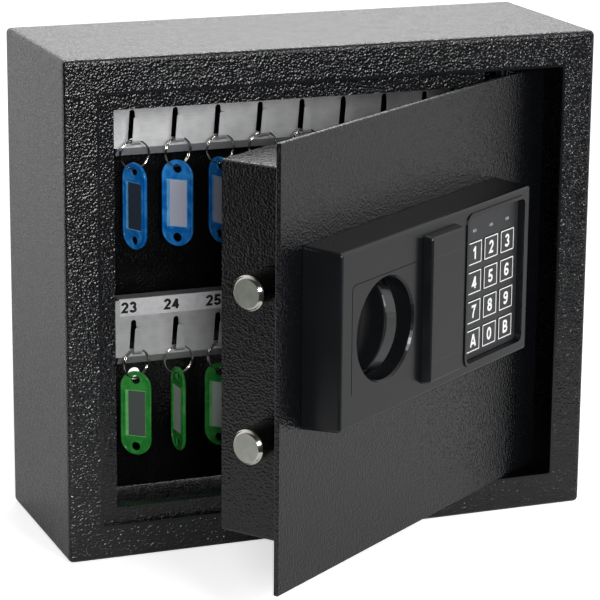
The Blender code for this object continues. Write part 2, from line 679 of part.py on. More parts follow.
rail_top, root_top, foot_top = hook_rail("hook_rail_top", RAIL_TOP_LEVEL)
rail_lower, root_lower, foot_lower = hook_rail("hook_rail_lower", RAIL_LOWER_LEVEL + STRIP_HEIGHT,
                                               STRIP_HEIGHT)
span_box("number_strip", (-RAIL_LIP_LENGTH / 2, RAIL_FRONT - SEAT_GAP - STRIP_THICKNESS, RAIL_LOWER_LEVEL),
         (RAIL_LIP_LENGTH / 2, RAIL_FRONT - SEAT_GAP, RAIL_LOWER_LEVEL + STRIP_HEIGHT), STRIP)

# Upright at each end of the rails, slotted for their ears
UPRIGHT_X = RAIL_LENGTH / 2 - EAR_REACH
UPRIGHT_LOW = (foot_lower + RAIL_TOP_LEVEL - UPRIGHT_HEIGHT) / 2
for side, sign in (("left", -1), ("right", 1)):
    web_front = RAIL_FRONT - UPRIGHT_FRONT_MARGIN
    foot_back = BACK_INNER - SEAT_GAP
    loop = [(0, foot_back), (sign * UPRIGHT_FOOT, foot_back),
            (sign * UPRIGHT_FOOT, foot_back - UPRIGHT_SHEET),
            (sign * UPRIGHT_SHEET, foot_back - UPRIGHT_SHEET), (sign * UPRIGHT_SHEET, web_front),
            (0, web_front)]
    upright = link("rail_upright_" + side, outline_mesh("rail_upright_" + side, [loop], UPRIGHT_HEIGHT,
                                                        "XY"),
                   (sign * (UPRIGHT_X - UPRIGHT_SHEET), 0, UPRIGHT_LOW + UPRIGHT_HEIGHT / 2), GALVANISED)
    for level, low, high in (("top", foot_top, RAIL_TOP_LEVEL), ("lower", foot_lower,
                                                                 RAIL_LOWER_LEVEL + STRIP_HEIGHT)):
        slot = span_box(f"ear_slot_{level}_{side}",
                        (sign * UPRIGHT_X - 2 * UPRIGHT_SHEET, RAIL_FRONT - SEAT_GAP, low - SEAT_GAP),
                        (sign * UPRIGHT_X + 2 * UPRIGHT_SHEET, RAIL_FRONT + RAIL_SHEET + SEAT_GAP,
                         high + SEAT_GAP))
        combine(upright, slot)


# Door: everything below hangs on this empty, laid out shut and turned open
door = empty("door_hinge", HINGE)
PLATE_MID_X = (PLATE_LEFT + PLATE_RIGHT) / 2
PLATE_MID_Z = (PLATE_BOTTOM + PLATE_TOP) / 2
plate = span_box("door_plate", (PLATE_LEFT, FRONT, PLATE_BOTTOM), (PLATE_RIGHT, PLATE_BACK, PLATE_TOP),
                 COAT, door,
                 radius=PLATE_EDGE_RADIUS, steps=2)


def through(part, name, diameter, x, z, start, end):
    """Drills a hole from one depth to another."""
    combine(part, cylinder(name, diameter, (x, start, z), (x, end, z), parent=door))


BARREL_HOLE = LOCK_BARREL_DIAMETER + 2 * SEAT_GAP
for name, size, x, z in (("spindle_hole", SPINDLE_HOLE_DIAMETER, KNOB_X, KNOB_HEIGHT),
                         ("cable_hole", CABLE_HOLE_DIAMETER, KEYPAD_X, KEYPAD_MID_HEIGHT),
                         ("barrel_hole", BARREL_HOLE, COVER_X, LOCK_HEIGHT)):
    through(plate, name, size, x, z, FRONT - CUT_OVERRUN, PLATE_BACK + CUT_OVERRUN)

# Folded box on the back of the door, with a flange against the plate
pan = span_box("door_pan", (PAN_LEFT, PAN_FRONT, -PAN_HEIGHT / 2), (PAN_RIGHT, PAN_BACK, PAN_HEIGHT / 2),
               COAT, door,
               radius=PAN_CORNER_RADIUS, edges=deep)
flange = link("pan_flange", outline_mesh("pan_flange", [rounded_loop(
    PAN_RIGHT - PAN_LEFT + 2 * PAN_FLANGE, PAN_HEIGHT + 2 * PAN_FLANGE, PAN_CORNER_RADIUS)], PAN_SHEET),
    ((PAN_LEFT + PAN_RIGHT) / 2, PAN_FRONT + PAN_SHEET / 2, 0), None, door)
combine(pan, flange, "UNION")
combine(pan, span_box("pan_hollow", (PAN_LEFT + PAN_SHEET, PAN_FRONT - CUT_OVERRUN,
                                     PAN_SHEET - PAN_HEIGHT / 2),
                      (PAN_RIGHT - PAN_SHEET, PAN_BACK - PAN_SHEET, PAN_HEIGHT / 2 - PAN_SHEET),
                      parent=door))
for sign in (-1, 1):
    combine(pan, cylinder(f"pan_pin_hole_{sign}", HINGE_PIN_DIAMETER + 2 * RUNNING_GAP,
                          (HINGE.x, HINGE.y, sign * (PAN_HEIGHT / 2 - PAN_SHEET - CUT_OVERRUN)),
                          (HINGE.x, HINGE.y, sign * (PAN_HEIGHT / 2 + CUT_OVERRUN)), parent=door))

# Bolts, chamfered in two steps, riveted to a folded carrier that slides on two studs
BOLT_TIP_X = PAN_LEFT - BOLT_PROTRUSION
BOLT_LENGTH = CARRIER_X - BOLT_TIP_X - SEAT_GAP
FLANGE_HOLE = BOLT_RIVET_DIAMETER + 2 * SEAT_GAP
bolts = empty("bolt_slide", (CARRIER_X, CARRIER_FRONT, BOLT_MID_HEIGHT), door)
STEP_RADIUS = BOLT_DIAMETER / 2 - BOLT_STEP_WIDTH
BOLT_PROFILE = [
    (0, BOLT_LENGTH), (STEP_RADIUS - BOLT_CHAMFER, BOLT_LENGTH), (STEP_RADIUS, BOLT_LENGTH - BOLT_CHAMFER),
    (BOLT_DIAMETER / 2, BOLT_LENGTH - BOLT_CHAMFER - BOLT_STEP_DEPTH), (BOLT_DIAMETER / 2, 0),
    (BOLT_RIVET_DIAMETER / 2, 0), (BOLT_RIVET_DIAMETER / 2, -SEAT_GAP - CARRIER_SHEET - BOLT_RIVET_HEIGHT),
    (0, -SEAT_GAP - CARRIER_SHEET - BOLT_RIVET_HEIGHT)]
BOLT_LEVELS = {"upper": BOLT_MID_HEIGHT + BOLT_SPACING / 2, "lower": BOLT_MID_HEIGHT - BOLT_SPACING / 2}
TAIL_LEFT = CARRIER_X + 2 * CARRIER_SHEET
FLANGE_HALF = BOLT_SPACING / 2 + BOLT_DIAMETER / 2 + CARRIER_SHEET
GUIDE_X = KNOB_X - CARRIER_SHEET
carrier_outline = [
    (CARRIER_X, BOLT_MID_HEIGHT - FLANGE_HALF), (TAIL_LEFT + BOLT_CHAMFER, BOLT_MID_HEIGHT - FLANGE_HALF),
    (TAIL_LEFT + BOLT_RIVET_DIAMETER, KNOB_HEIGHT - CARRIER_TAIL_HEIGHT / 2),
    (CARRIER_RIGHT, KNOB_HEIGHT - CARRIER_TAIL_HEIGHT / 2),
    (CARRIER_RIGHT, KNOB_HEIGHT + CARRIER_TAIL_HEIGHT / 2),
    (TAIL_LEFT + BOLT_RIVET_DIAMETER, KNOB_HEIGHT + CARRIER_TAIL_HEIGHT / 2),
    (TAIL_LEFT + BOLT_CHAMFER, BOLT_MID_HEIGHT + FLANGE_HALF), (CARRIER_X, BOLT_MID_HEIGHT + FLANGE_HALF)]
GUIDE_LEVELS = (KNOB_HEIGHT + CARRIER_GUIDE_SPACING / 2, KNOB_HEIGHT - CARRIER_GUIDE_SPACING / 2)
STUD_ROOM = GUIDE_STUD_DIAMETER / 2 + RUNNING_GAP
CRANK_PIN_X = KNOB_X - CRANK_RADIUS * math.sin(math.radians(KNOB_TURN_DEG / 2))
CRANK_PIN_Z = KNOB_HEIGHT + CRANK_RADIUS * math.cos(math.radians(KNOB_TURN_DEG / 2))
PIN_ROOM = CRANK_PIN_DIAMETER / 2 + CRANK_SLOT_CLEARANCE
PLUNGER_X = CARRIER_RIGHT - SOLENOID_WIDTH / 2
carrier_loops = [carrier_outline, circle_loop(PLUNGER_DIAMETER + 2 * CRANK_SLOT_CLEARANCE,
                                              (PLUNGER_X, KNOB_HEIGHT),
                                              SMALL_ROUND_STEPS),
                 box_loop(CRANK_PIN_X - PIN_ROOM, CRANK_PIN_X + PIN_ROOM, CRANK_PIN_Z - PIN_ROOM,
                          KNOB_HEIGHT + CRANK_RADIUS + PIN_ROOM)]
for level in GUIDE_LEVELS:
    carrier_loops.append(box_loop(GUIDE_X - BOLT_TRAVEL - STUD_ROOM, GUIDE_X + STUD_ROOM, level - STUD_ROOM,
                                  level + STUD_ROOM))
carrier = link("bolt_carrier", outline_mesh("bolt_carrier", carrier_loops, CARRIER_SHEET),
               (0, CARRIER_FRONT + CARRIER_SHEET / 2, 0), ZINC, bolts)
flange_fold = span_box("carrier_fold", (CARRIER_X, CARRIER_FRONT, BOLT_MID_HEIGHT - FLANGE_HALF),
                       (CARRIER_X + CARRIER_SHEET, BOLT_Y + CARRIER_TOE, BOLT_MID_HEIGHT + FLANGE_HALF),
                       parent=bolts)
combine(carrier, flange_fold, "UNION")
for side, level in BOLT_LEVELS.items():
    combine(carrier, cylinder("rivet_hole_" + side, FLANGE_HOLE, (CARRIER_X - CUT_OVERRUN, BOLT_Y, level),
                              (CARRIER_X + CARRIER_SHEET + CUT_OVERRUN, BOLT_Y, level), parent=bolts))
    bolt = link("bolt_" + side, turn_mesh(turned_mesh("bolt_" + side, BOLT_PROFILE), "Y", -90),
                (CARRIER_X - SEAT_GAP, BOLT_Y, level), CHROME, bolts)
    combine(pan, cylinder("pan_bolt_hole_" + side, BOLT_DIAMETER + 2 * RUNNING_GAP,
                          (PAN_LEFT - CUT_OVERRUN, BOLT_Y, level),
                          (PAN_LEFT + PAN_SHEET + CUT_OVERRUN, BOLT_Y, level), parent=door,
                          steps=ROUND_STEPS))
HEAD_Y = CARRIER_FRONT + CARRIER_SHEET + SEAT_GAP - PLATE_BACK - SEAT_GAP
for side, level in zip(("upper", "lower"), GUIDE_LEVELS):
    stud_profile = [(0, HEAD_Y + GUIDE_HEAD_HEIGHT), (GUIDE_HEAD_DIAMETER / 2, HEAD_Y + GUIDE_HEAD_HEIGHT),
                    (GUIDE_HEAD_DIAMETER / 2, HEAD_Y), (GUIDE_STUD_DIAMETER / 2, HEAD_Y),
                    (GUIDE_STUD_DIAMETER / 2, 0),
                    (0, 0)]
    link("guide_stud_" + side, turn_mesh(turned_mesh("guide_stud_" + side, stud_profile, SMALL_ROUND_STEPS),
                                         "X", -90),
         (GUIDE_X, PLATE_BACK + SEAT_GAP, level), ZINC, door)

# Moulded lock housing: drafted shell, round knob well and a sunk keypad
HOUSING_BACK = FRONT - SEAT_GAP
housing = link("lock_housing", box_mesh("lock_housing", (HOUSING_WIDTH, HOUSING_DEPTH, HOUSING_HEIGHT),
                                        HOUSING_EDGE_RADIUS, HOUSING_DRAFT, front_or_deep),
               (HOUSING_MID_X, (HOUSING_FRONT + HOUSING_BACK) / 2, HOUSING_MID_HEIGHT), ABS, door)
inner = Vector((HOUSING_WIDTH / 2 - HOUSING_DRAFT - HOUSING_WALL, 0,
                HOUSING_HEIGHT / 2 - HOUSING_DRAFT - HOUSING_WALL))
combine(housing, span_box("housing_hollow", (HOUSING_MID_X - inner.x, HOUSING_FRONT + HOUSING_WALL,
                                             HOUSING_MID_HEIGHT - inner.z),
                          (HOUSING_MID_X + inner.x, HOUSING_BACK + CUT_OVERRUN,
                           HOUSING_MID_HEIGHT + inner.z),
                          parent=door))
WELL_FLOOR = HOUSING_FRONT + KNOB_RECESS_DEPTH
combine(housing, cylinder("well_wall", KNOB_RECESS_DIAMETER + HOUSING_WALL,
                          (KNOB_X, HOUSING_FRONT + HOUSING_WALL / 2, KNOB_HEIGHT),
                          (KNOB_X, WELL_FLOOR + HOUSING_WALL / 2, KNOB_HEIGHT), parent=door,
                          steps=ROUND_STEPS), "UNION")
KEYPAD_FLOOR = HOUSING_FRONT + KEYPAD_DEPTH
combine(housing, span_box("keypad_block", (KEYPAD_X - KEYPAD_WIDTH / 2 - HOUSING_WALL / 2, HOUSING_FRONT
                                           + HOUSING_WALL / 2, KEYPAD_MID_HEIGHT - KEYPAD_HEIGHT / 2
                                           - HOUSING_WALL / 2),
                          (KEYPAD_X + KEYPAD_WIDTH / 2 + HOUSING_WALL / 2, KEYPAD_FLOOR + OVERLAY_THICKNESS
                           + HOUSING_WALL, KEYPAD_MID_HEIGHT + KEYPAD_HEIGHT / 2 + HOUSING_WALL / 2),
                          parent=door),
        "UNION")
SPINDLE_ROOM = SPINDLE_DIAMETER / 2 + RUNNING_GAP
well = [(0, CUT_OVERRUN), (KNOB_RECESS_DIAMETER / 2 + KNOB_RECESS_LIP + CUT_OVERRUN, CUT_OVERRUN),
        (KNOB_RECESS_DIAMETER / 2, -KNOB_RECESS_LIP), (KNOB_RECESS_DIAMETER / 2 - KNOB_RECESS_LIP,
                                                       -KNOB_RECESS_DEPTH),
        (SPINDLE_ROOM, -KNOB_RECESS_DEPTH), (SPINDLE_ROOM, -HOUSING_DEPTH), (0, -HOUSING_DEPTH)]
combine(housing, link("knob_well", turn_mesh(turned_mesh("knob_well", well, 2 * HOLE_STEPS), "X", 90),
                      (KNOB_X, HOUSING_FRONT, KNOB_HEIGHT), None, door))
through(housing, "housing_barrel_hole", BARREL_HOLE, COVER_X, LOCK_HEIGHT, HOUSING_FRONT - CUT_OVERRUN,
        HOUSING_BACK)
rim = link("keypad_rim", outline_mesh("keypad_rim", [
    rounded_loop(KEYPAD_WIDTH + 2 * KEYPAD_RIM_WIDTH, KEYPAD_HEIGHT + 2 * KEYPAD_RIM_WIDTH,
                 KEYPAD_CORNER_RADIUS + KEYPAD_RIM_WIDTH)], KEYPAD_RIM_HEIGHT + HOUSING_WALL / 2),
    (KEYPAD_X, HOUSING_FRONT - KEYPAD_RIM_HEIGHT / 2 + HOUSING_WALL / 4, KEYPAD_MID_HEIGHT), None, door)
combine(housing, rim, "UNION")
sunk = link("keypad_sunk", outline_mesh("keypad_sunk", [rounded_loop(KEYPAD_WIDTH, KEYPAD_HEIGHT,
                                                                     KEYPAD_CORNER_RADIUS)],
                                        KEYPAD_DEPTH + OVERLAY_THICKNESS + CUT_OVERRUN),
            (KEYPAD_X, KEYPAD_FLOOR + (OVERLAY_THICKNESS - KEYPAD_DEPTH - CUT_OVERRUN) / 2,
             KEYPAD_MID_HEIGHT), None,
            door)
combine(housing, sunk)
KEY_TOP_Z = KEYPAD_MID_HEIGHT + KEY_PITCH_Z + KEY_PITCH_Z / 2 - KEY_BLOCK_DROP
KEY_NAMES = (("1", "2", "3"), ("4", "5", "6"), ("7", "8", "9"), ("a", "0", "b"))
KEY_PLACES = [(name, KEYPAD_X + (column - 1) * KEY_PITCH_X, KEY_TOP_Z - row * KEY_PITCH_Z)
              for row, names in enumerate(KEY_NAMES) for column, name in enumerate(names)]


def key_loops(grow):
    """Rounded outlines of the twelve keys, made larger all round."""
    return [rounded_loop(KEY_WIDTH + 2 * grow, KEY_HEIGHT + 2 * grow, KEY_CORNER_RADIUS, (x, z), 1)
            for _, x, z in KEY_PLACES]


OVERLAY_BACK = KEYPAD_FLOOR + OVERLAY_THICKNESS - SEAT_GAP
overlay_loop = rounded_loop(KEYPAD_WIDTH - 2 * SEAT_GAP, KEYPAD_HEIGHT - 2 * SEAT_GAP, KEYPAD_CORNER_RADIUS,
                            (KEYPAD_X, KEYPAD_MID_HEIGHT))
link("keypad_overlay", outline_mesh("keypad_overlay", [overlay_loop] + key_loops(KEY_GAP),
                                    OVERLAY_THICKNESS),
     (0, OVERLAY_BACK - OVERLAY_THICKNESS / 2, 0), OVERLAY, door)
KEY_FRONT = OVERLAY_BACK - OVERLAY_THICKNESS - KEY_PROUD
POCKET_BACK = KEY_FRONT + KEY_THICKNESS + KEY_TRAVEL + SEAT_GAP
combine(housing, link("key_pockets", outline_mesh("key_pockets", key_loops(KEY_GAP),
                                                  POCKET_BACK - OVERLAY_BACK
                                                  + CUT_OVERRUN),
                      (0, POCKET_BACK - (POCKET_BACK - OVERLAY_BACK + CUT_OVERRUN) / 2, 0), None, door))
for name, x, z in KEY_PLACES:
    key = link("key_" + name, outline_mesh("key_" + name,
                                           [rounded_loop(KEY_WIDTH, KEY_HEIGHT, KEY_CORNER_RADIUS,
                                                                       steps=1)], KEY_THICKNESS),
               (x, KEY_FRONT + KEY_THICKNESS / 2, z), KEYCAP, door)
BOARD_FRONT = KEYPAD_FLOOR + OVERLAY_THICKNESS + HOUSING_WALL + SEAT_GAP
span_box("circuit_board", (KEYPAD_X - BOARD_WIDTH / 2, BOARD_FRONT, KEYPAD_MID_HEIGHT - BOARD_HEIGHT / 2),
         (KEYPAD_X + BOARD_WIDTH / 2, BOARD_FRONT + BOARD_THICKNESS, KEYPAD_MID_HEIGHT + BOARD_HEIGHT / 2),
         BOARD,
         door)

# Shallow groove above and beside the knob well
groove_x = KNOB_X - KNOB_RECESS_DIAMETER / 2 - PANEL_GROOVE_OUTSET_X
groove_z = KNOB_HEIGHT + KNOB_RECESS_DIAMETER / 2 + PANEL_GROOVE_OUTSET_Z
groove_turn = [(groove_x + KEYPAD_CORNER_RADIUS * (1 - math.cos(math.pi / 2 * n / CORNER_STEPS)),
                groove_z - KEYPAD_CORNER_RADIUS * (1 - math.sin(math.pi / 2 * n / CORNER_STEPS)))
               for n in range(CORNER_STEPS + 1)]
groove_path = ([(groove_x, KNOB_HEIGHT - KNOB_RECESS_DIAMETER / 2 - PANEL_GROOVE_DROP)] + groove_turn
               + [(KNOB_X + KNOB_RECESS_DIAMETER / 2 + PANEL_GROOVE_OUTSET_Z / 2, groove_z)])
combine(housing, link("panel_groove", outline_mesh("panel_groove",
                                                   [ribbon(groove_path, PANEL_GROOVE_WIDTH)],
                                                   2 * PANEL_GROOVE_DEPTH), (0, HOUSING_FRONT, 0), None,
                      door))

# Knob: a disc in the well with a domed grip, its spindle and crank
knob_turn = empty("knob_turn", (KNOB_X, WELL_FLOOR, KNOB_HEIGHT), door)
KNOB_BACK = WELL_FLOOR - RUNNING_GAP
KNOB_DISC_DIAMETER = KNOB_RECESS_DIAMETER - 2 * KNOB_RECESS_LIP - 4 * RUNNING_GAP
knob = link("knob", cylinder_mesh("knob", KNOB_DISC_DIAMETER, KNOB_DISC_HEIGHT,
                                  steps=2 * SMALL_ROUND_STEPS),
            (KNOB_X, KNOB_BACK - KNOB_DISC_HEIGHT / 2, KNOB_HEIGHT), ABS, knob_turn)
GRIP_RISE = KNOB_GRIP_MID_HEIGHT - KNOB_GRIP_END_HEIGHT
GRIP_ARC_RADIUS = ((KNOB_GRIP_LENGTH / 2) ** 2 + GRIP_RISE ** 2) / (2 * GRIP_RISE)
grip_half_angle = math.asin(KNOB_GRIP_LENGTH / 2 / GRIP_ARC_RADIUS)
grip_loop = [(KNOB_DISC_HEIGHT / 2, -KNOB_GRIP_LENGTH / 2)]
for n in range(SMALL_ROUND_STEPS + 1):
    angle = grip_half_angle * (2 * n / SMALL_ROUND_STEPS - 1)
    grip_loop.append((GRIP_ARC_RADIUS - KNOB_GRIP_MID_HEIGHT - GRIP_ARC_RADIUS * math.cos(angle),
                      GRIP_ARC_RADIUS * math.sin(angle)))
grip_loop.append((KNOB_DISC_HEIGHT / 2, KNOB_GRIP_LENGTH / 2))
grip_shape = turn_mesh(outline_mesh("knob_grip", [grip_loop], KNOB_GRIP_WIDTH, "YZ"), "Y",
                       KNOB_REST_TILT_DEG)
grip = link("knob_grip", grip_shape, (KNOB_X, KNOB_BACK - KNOB_DISC_HEIGHT, KNOB_HEIGHT), None, knob_turn)
soften = grip.modifiers.new("soften", "BEVEL")
soften.width = KNOB_GRIP_ROUNDING
soften.segments = 2
soften.limit_method = "ANGLE"
soften.angle_limit = math.radians(SMOOTH_DEG)
combine(knob, grip, "UNION")
CRANK_BACK = PLATE_BACK + SEAT_GAP + CRANK_DISC_HEIGHT
spindle = cylinder("knob_spindle", SPINDLE_DIAMETER, (KNOB_X, KNOB_BACK + SEAT_GAP, KNOB_HEIGHT),
                   (KNOB_X, CRANK_BACK - CRANK_DISC_HEIGHT / 2, KNOB_HEIGHT), ZINC, knob_turn)
combine(spindle, cylinder("crank_disc", CRANK_DISC_DIAMETER,
                          (KNOB_X, CRANK_BACK - CRANK_DISC_HEIGHT, KNOB_HEIGHT),
                          (KNOB_X, CRANK_BACK, KNOB_HEIGHT), parent=knob_turn), "UNION")
combine(spindle, cylinder("crank_pin", CRANK_PIN_DIAMETER, (CRANK_PIN_X, CRANK_BACK - CRANK_DISC_HEIGHT / 2,
                                                            CRANK_PIN_Z),
                          (CRANK_PIN_X, CARRIER_FRONT + 2 * CARRIER_SHEET, CRANK_PIN_Z), parent=knob_turn,
                          steps=SMALL_ROUND_STEPS), "UNION")

# Emergency lock behind a pull-off cover
BARREL_BACK = PLATE_BACK + LOCK_RIM_DIAMETER / 4
PLUG_BORE = LOCK_PLUG_DIAMETER + 2 * SEAT_GAP
TAIL_SHAFT_DIAMETER = LOCK_PLUG_DIAMETER / 2
RIM_FRONT = HOUSING_FRONT - SEAT_GAP - LOCK_RIM_HEIGHT
barrel_profile = [
    (PLUG_BORE / 2, 0), (LOCK_RIM_DIAMETER / 2, 0), (LOCK_RIM_DIAMETER / 2, -LOCK_RIM_HEIGHT),
    (LOCK_BARREL_DIAMETER / 2, -LOCK_RIM_HEIGHT), (LOCK_BARREL_DIAMETER / 2, RIM_FRONT - BARREL_BACK),
    (TAIL_SHAFT_DIAMETER / 2 + SEAT_GAP, RIM_FRONT - BARREL_BACK),
    (TAIL_SHAFT_DIAMETER / 2 + SEAT_GAP, -LOCK_PLUG_DEPTH - SEAT_GAP),
    (PLUG_BORE / 2, -LOCK_PLUG_DEPTH - SEAT_GAP),
    (PLUG_BORE / 2, 0)]
link("emergency_lock", turn_mesh(turned_mesh("emergency_lock", barrel_profile, HOLE_STEPS), "X", 90),
     (COVER_X, RIM_FRONT, LOCK_HEIGHT), CHROME, door)
plug_turn = empty("key_plug_turn", (COVER_X, RIM_FRONT, LOCK_HEIGHT), door)
TAIL_BACK = BARREL_BACK + SEAT_GAP + CARRIER_SHEET
plug_profile = [(0, 0), (LOCK_PLUG_DIAMETER / 2, 0), (LOCK_PLUG_DIAMETER / 2, -LOCK_PLUG_DEPTH),
                (TAIL_SHAFT_DIAMETER / 2, -LOCK_PLUG_DEPTH),
                (TAIL_SHAFT_DIAMETER / 2, RIM_FRONT - TAIL_BACK), (0, RIM_FRONT - TAIL_BACK)]
plug = link("key_plug", turn_mesh(turned_mesh("key_plug", plug_profile, HOLE_STEPS), "X", 90),
            (COVER_X, RIM_FRONT, LOCK_HEIGHT), CHROME, plug_turn)
combine(plug, span_box("keyway", (COVER_X - LOCK_KEYWAY_WIDTH / 2, RIM_FRONT - CUT_OVERRUN,
                                  LOCK_HEIGHT - LOCK_KEYWAY_LENGTH / 2),
                       (COVER_X + LOCK_KEYWAY_WIDTH / 2, RIM_FRONT + LOCK_KEYWAY_DEPTH,
                        LOCK_HEIGHT + LOCK_KEYWAY_LENGTH / 2), parent=plug_turn))
combine(plug, span_box("plug_tail", (COVER_X - TAIL_SHAFT_DIAMETER / 2, BARREL_BACK + SEAT_GAP,
                                     LOCK_HEIGHT),
                       (COVER_X + TAIL_SHAFT_DIAMETER / 2, TAIL_BACK, LOCK_HEIGHT + LOCK_TAIL_LENGTH),
                       parent=plug_turn), "UNION")
COVER_BACK = HOUSING_FRONT - SEAT_GAP
COVER_FRONT = COVER_BACK - COVER_RISE
cover = link("emergency_cover", box_mesh("emergency_cover", (COVER_WIDTH, COVER_RISE, COVER_HEIGHT),
                                         COVER_EDGE_RADIUS, COVER_DRAFT, front_or_deep, 2),
             (COVER_X, (COVER_FRONT + COVER_BACK) / 2, COVER_MID_HEIGHT), ABS, door)
cover_inner = Vector((COVER_WIDTH / 2 - COVER_DRAFT - COVER_WALL, 0,
                      COVER_HEIGHT / 2 - COVER_DRAFT - COVER_WALL))
combine(cover, span_box("cover_hollow", (COVER_X - cover_inner.x, COVER_FRONT + COVER_WALL,
                                         COVER_MID_HEIGHT - cover_inner.z),
                        (COVER_X + cover_inner.x, COVER_BACK + CUT_OVERRUN,
                         COVER_MID_HEIGHT + cover_inner.z),
                        parent=door))
for name, sign in (("upper", 1), ("lower", -1)):
    peg_z = COVER_MID_HEIGHT + sign * (cover_inner.z - COVER_PEG_DIAMETER)
    combine(cover, cylinder("cover_peg_" + name, COVER_PEG_DIAMETER,
                            (COVER_X, COVER_FRONT + COVER_WALL / 2, peg_z),
                            (COVER_X, COVER_BACK + COVER_PEG_LENGTH, peg_z), parent=door,
                            steps=SMALL_ROUND_STEPS),
            "UNION")
    through(housing, "cover_peg_hole_" + name, COVER_PEG_DIAMETER + 2 * SEAT_GAP, COVER_X, peg_z,
            HOUSING_FRONT - CUT_OVERRUN, HOUSING_FRONT + HOUSING_WALL + CUT_OVERRUN)

# Solenoid that blocks the carrier, on the back of the pan
SOLENOID_FRONT = CARRIER_FRONT + 2 * CARRIER_SHEET + PLUNGER_REACH
PAN_INNER_BACK = PAN_BACK - PAN_SHEET - SEAT_GAP
solenoid = span_box("solenoid", (PLUNGER_X - SOLENOID_WIDTH / 2, SOLENOID_FRONT,
                                 KNOB_HEIGHT - SOLENOID_HEIGHT / 2),
                    (PLUNGER_X + SOLENOID_WIDTH / 2, PAN_INNER_BACK, KNOB_HEIGHT + SOLENOID_HEIGHT / 2),
                    ZINC, door,
                    radius=KEY_CORNER_RADIUS, steps=1)
PLUNGER_TIP = SOLENOID_FRONT - PLUNGER_REACH
PLUNGER_END = SOLENOID_FRONT + PLUNGER_TRAVEL + PLUNGER_REACH
through(solenoid, "plunger_bore", PLUNGER_DIAMETER + 2 * SEAT_GAP, PLUNGER_X, KNOB_HEIGHT,
        SOLENOID_FRONT - CUT_OVERRUN, PLUNGER_END + SEAT_GAP)
cylinder("solenoid_plunger", PLUNGER_DIAMETER, (PLUNGER_X, PLUNGER_TIP, KNOB_HEIGHT),
         (PLUNGER_X, PLUNGER_END, KNOB_HEIGHT), CHROME, door, SMALL_ROUND_STEPS)

# Battery box in the pan, its lid and the set-up button
box_half = Vector((BATTERY_WIDTH / 2 + BATTERY_ROOM, 0, BATTERY_HEIGHT / 2 + BATTERY_ROOM))
BOX_FLOOR = PAN_INNER_BACK - BATTERY_DEPTH - BATTERY_ROOM
battery_box = span_box("battery_box", (BATTERY_X - box_half.x - BATTERY_BOX_WALL,
                                       BOX_FLOOR - BATTERY_BOX_WALL,
                                       BATTERY_MID_HEIGHT - box_half.z - BATTERY_BOX_WALL),
                       (BATTERY_X + box_half.x + BATTERY_BOX_WALL, PAN_INNER_BACK,
                        BATTERY_MID_HEIGHT + box_half.z + BATTERY_BOX_WALL), ABS, door)
combine(battery_box, span_box("battery_room", (BATTERY_X - box_half.x, BOX_FLOOR,
                                               BATTERY_MID_HEIGHT - box_half.z),
                              (BATTERY_X + box_half.x, PAN_INNER_BACK + CUT_OVERRUN,
                               BATTERY_MID_HEIGHT + box_half.z), parent=door))
combine(pan, span_box("pan_battery_window", (BATTERY_X - box_half.x, PAN_BACK - PAN_SHEET - CUT_OVERRUN,
                                             BATTERY_MID_HEIGHT - box_half.z),
                      (BATTERY_X + box_half.x, PAN_BACK + CUT_OVERRUN, BATTERY_MID_HEIGHT + box_half.z),
                      parent=door))
span_box("battery", (BATTERY_X - BATTERY_WIDTH / 2, BOX_FLOOR + SEAT_GAP,
                     BATTERY_MID_HEIGHT - BATTERY_HEIGHT / 2),
         (BATTERY_X + BATTERY_WIDTH / 2, BOX_FLOOR + SEAT_GAP + BATTERY_DEPTH, BATTERY_MID_HEIGHT
          + BATTERY_HEIGHT / 2), CELL, door, radius=KEY_CORNER_RADIUS, steps=1)
LID_FRONT = PAN_BACK + SEAT_GAP
lid = span_box("battery_lid", (BATTERY_X - box_half.x - LID_OVERLAP, LID_FRONT,
                               BATTERY_MID_HEIGHT - box_half.z
                               - LID_OVERLAP),
               (BATTERY_X + box_half.x + LID_OVERLAP, LID_FRONT + LID_THICKNESS,
                BATTERY_MID_HEIGHT + box_half.z
                + LID_OVERLAP), ABS, door, radius=KEY_CORNER_RADIUS, edges=deep)
combine(lid, span_box("lid_grip", (BATTERY_X - LID_GRIP_WIDTH / 2, LID_FRONT + LID_THICKNESS / 2,
                                   BATTERY_MID_HEIGHT + box_half.z - LID_GRIP_HEIGHT),
                      (BATTERY_X + LID_GRIP_WIDTH / 2, LID_FRONT + LID_THICKNESS + LID_GRIP_HEIGHT,
                       BATTERY_MID_HEIGHT + box_half.z), parent=door), "UNION")
RESET_X = PLATE_RIGHT - RESET_FROM_HINGE_EDGE
RESET_TOP = PAN_BACK + RESET_PROUD
COLLAR_FRONT = PAN_INNER_BACK - RESET_TRAVEL
reset_profile = [(0, 0), (RESET_DIAMETER / 2, 0), (RESET_DIAMETER / 2, PAN_INNER_BACK - RESET_TOP),
                 (RESET_DIAMETER / 2 + PAN_SHEET, PAN_INNER_BACK - RESET_TOP),
                 (RESET_DIAMETER / 2 + PAN_SHEET, COLLAR_FRONT - RESET_TOP), (0, COLLAR_FRONT - RESET_TOP)]
link("reset_button", turn_mesh(turned_mesh("reset_button", reset_profile, SMALL_ROUND_STEPS), "X", -90),
     (RESET_X, RESET_TOP, RESET_HEIGHT), RED, door)
through(pan, "reset_hole", RESET_DIAMETER + 2 * SEAT_GAP, RESET_X, RESET_HEIGHT,
        PAN_BACK - PAN_SHEET - CUT_OVERRUN,
        PAN_BACK + CUT_OVERRUN)
door.rotation_euler.z = math.radians(DOOR_OPEN_DEG)


# Split rings and key tags
RING_RADIUS = (RING_DIAMETER - RING_WIRE_DIAMETER) / 2
RING_PITCH = RING_WIRE_DIAMETER + RING_TURN_GAP
RING_INNER = RING_RADIUS - RING_WIRE_DIAMETER / 2
RING_HANG = RING_INNER - SEAT_GAP


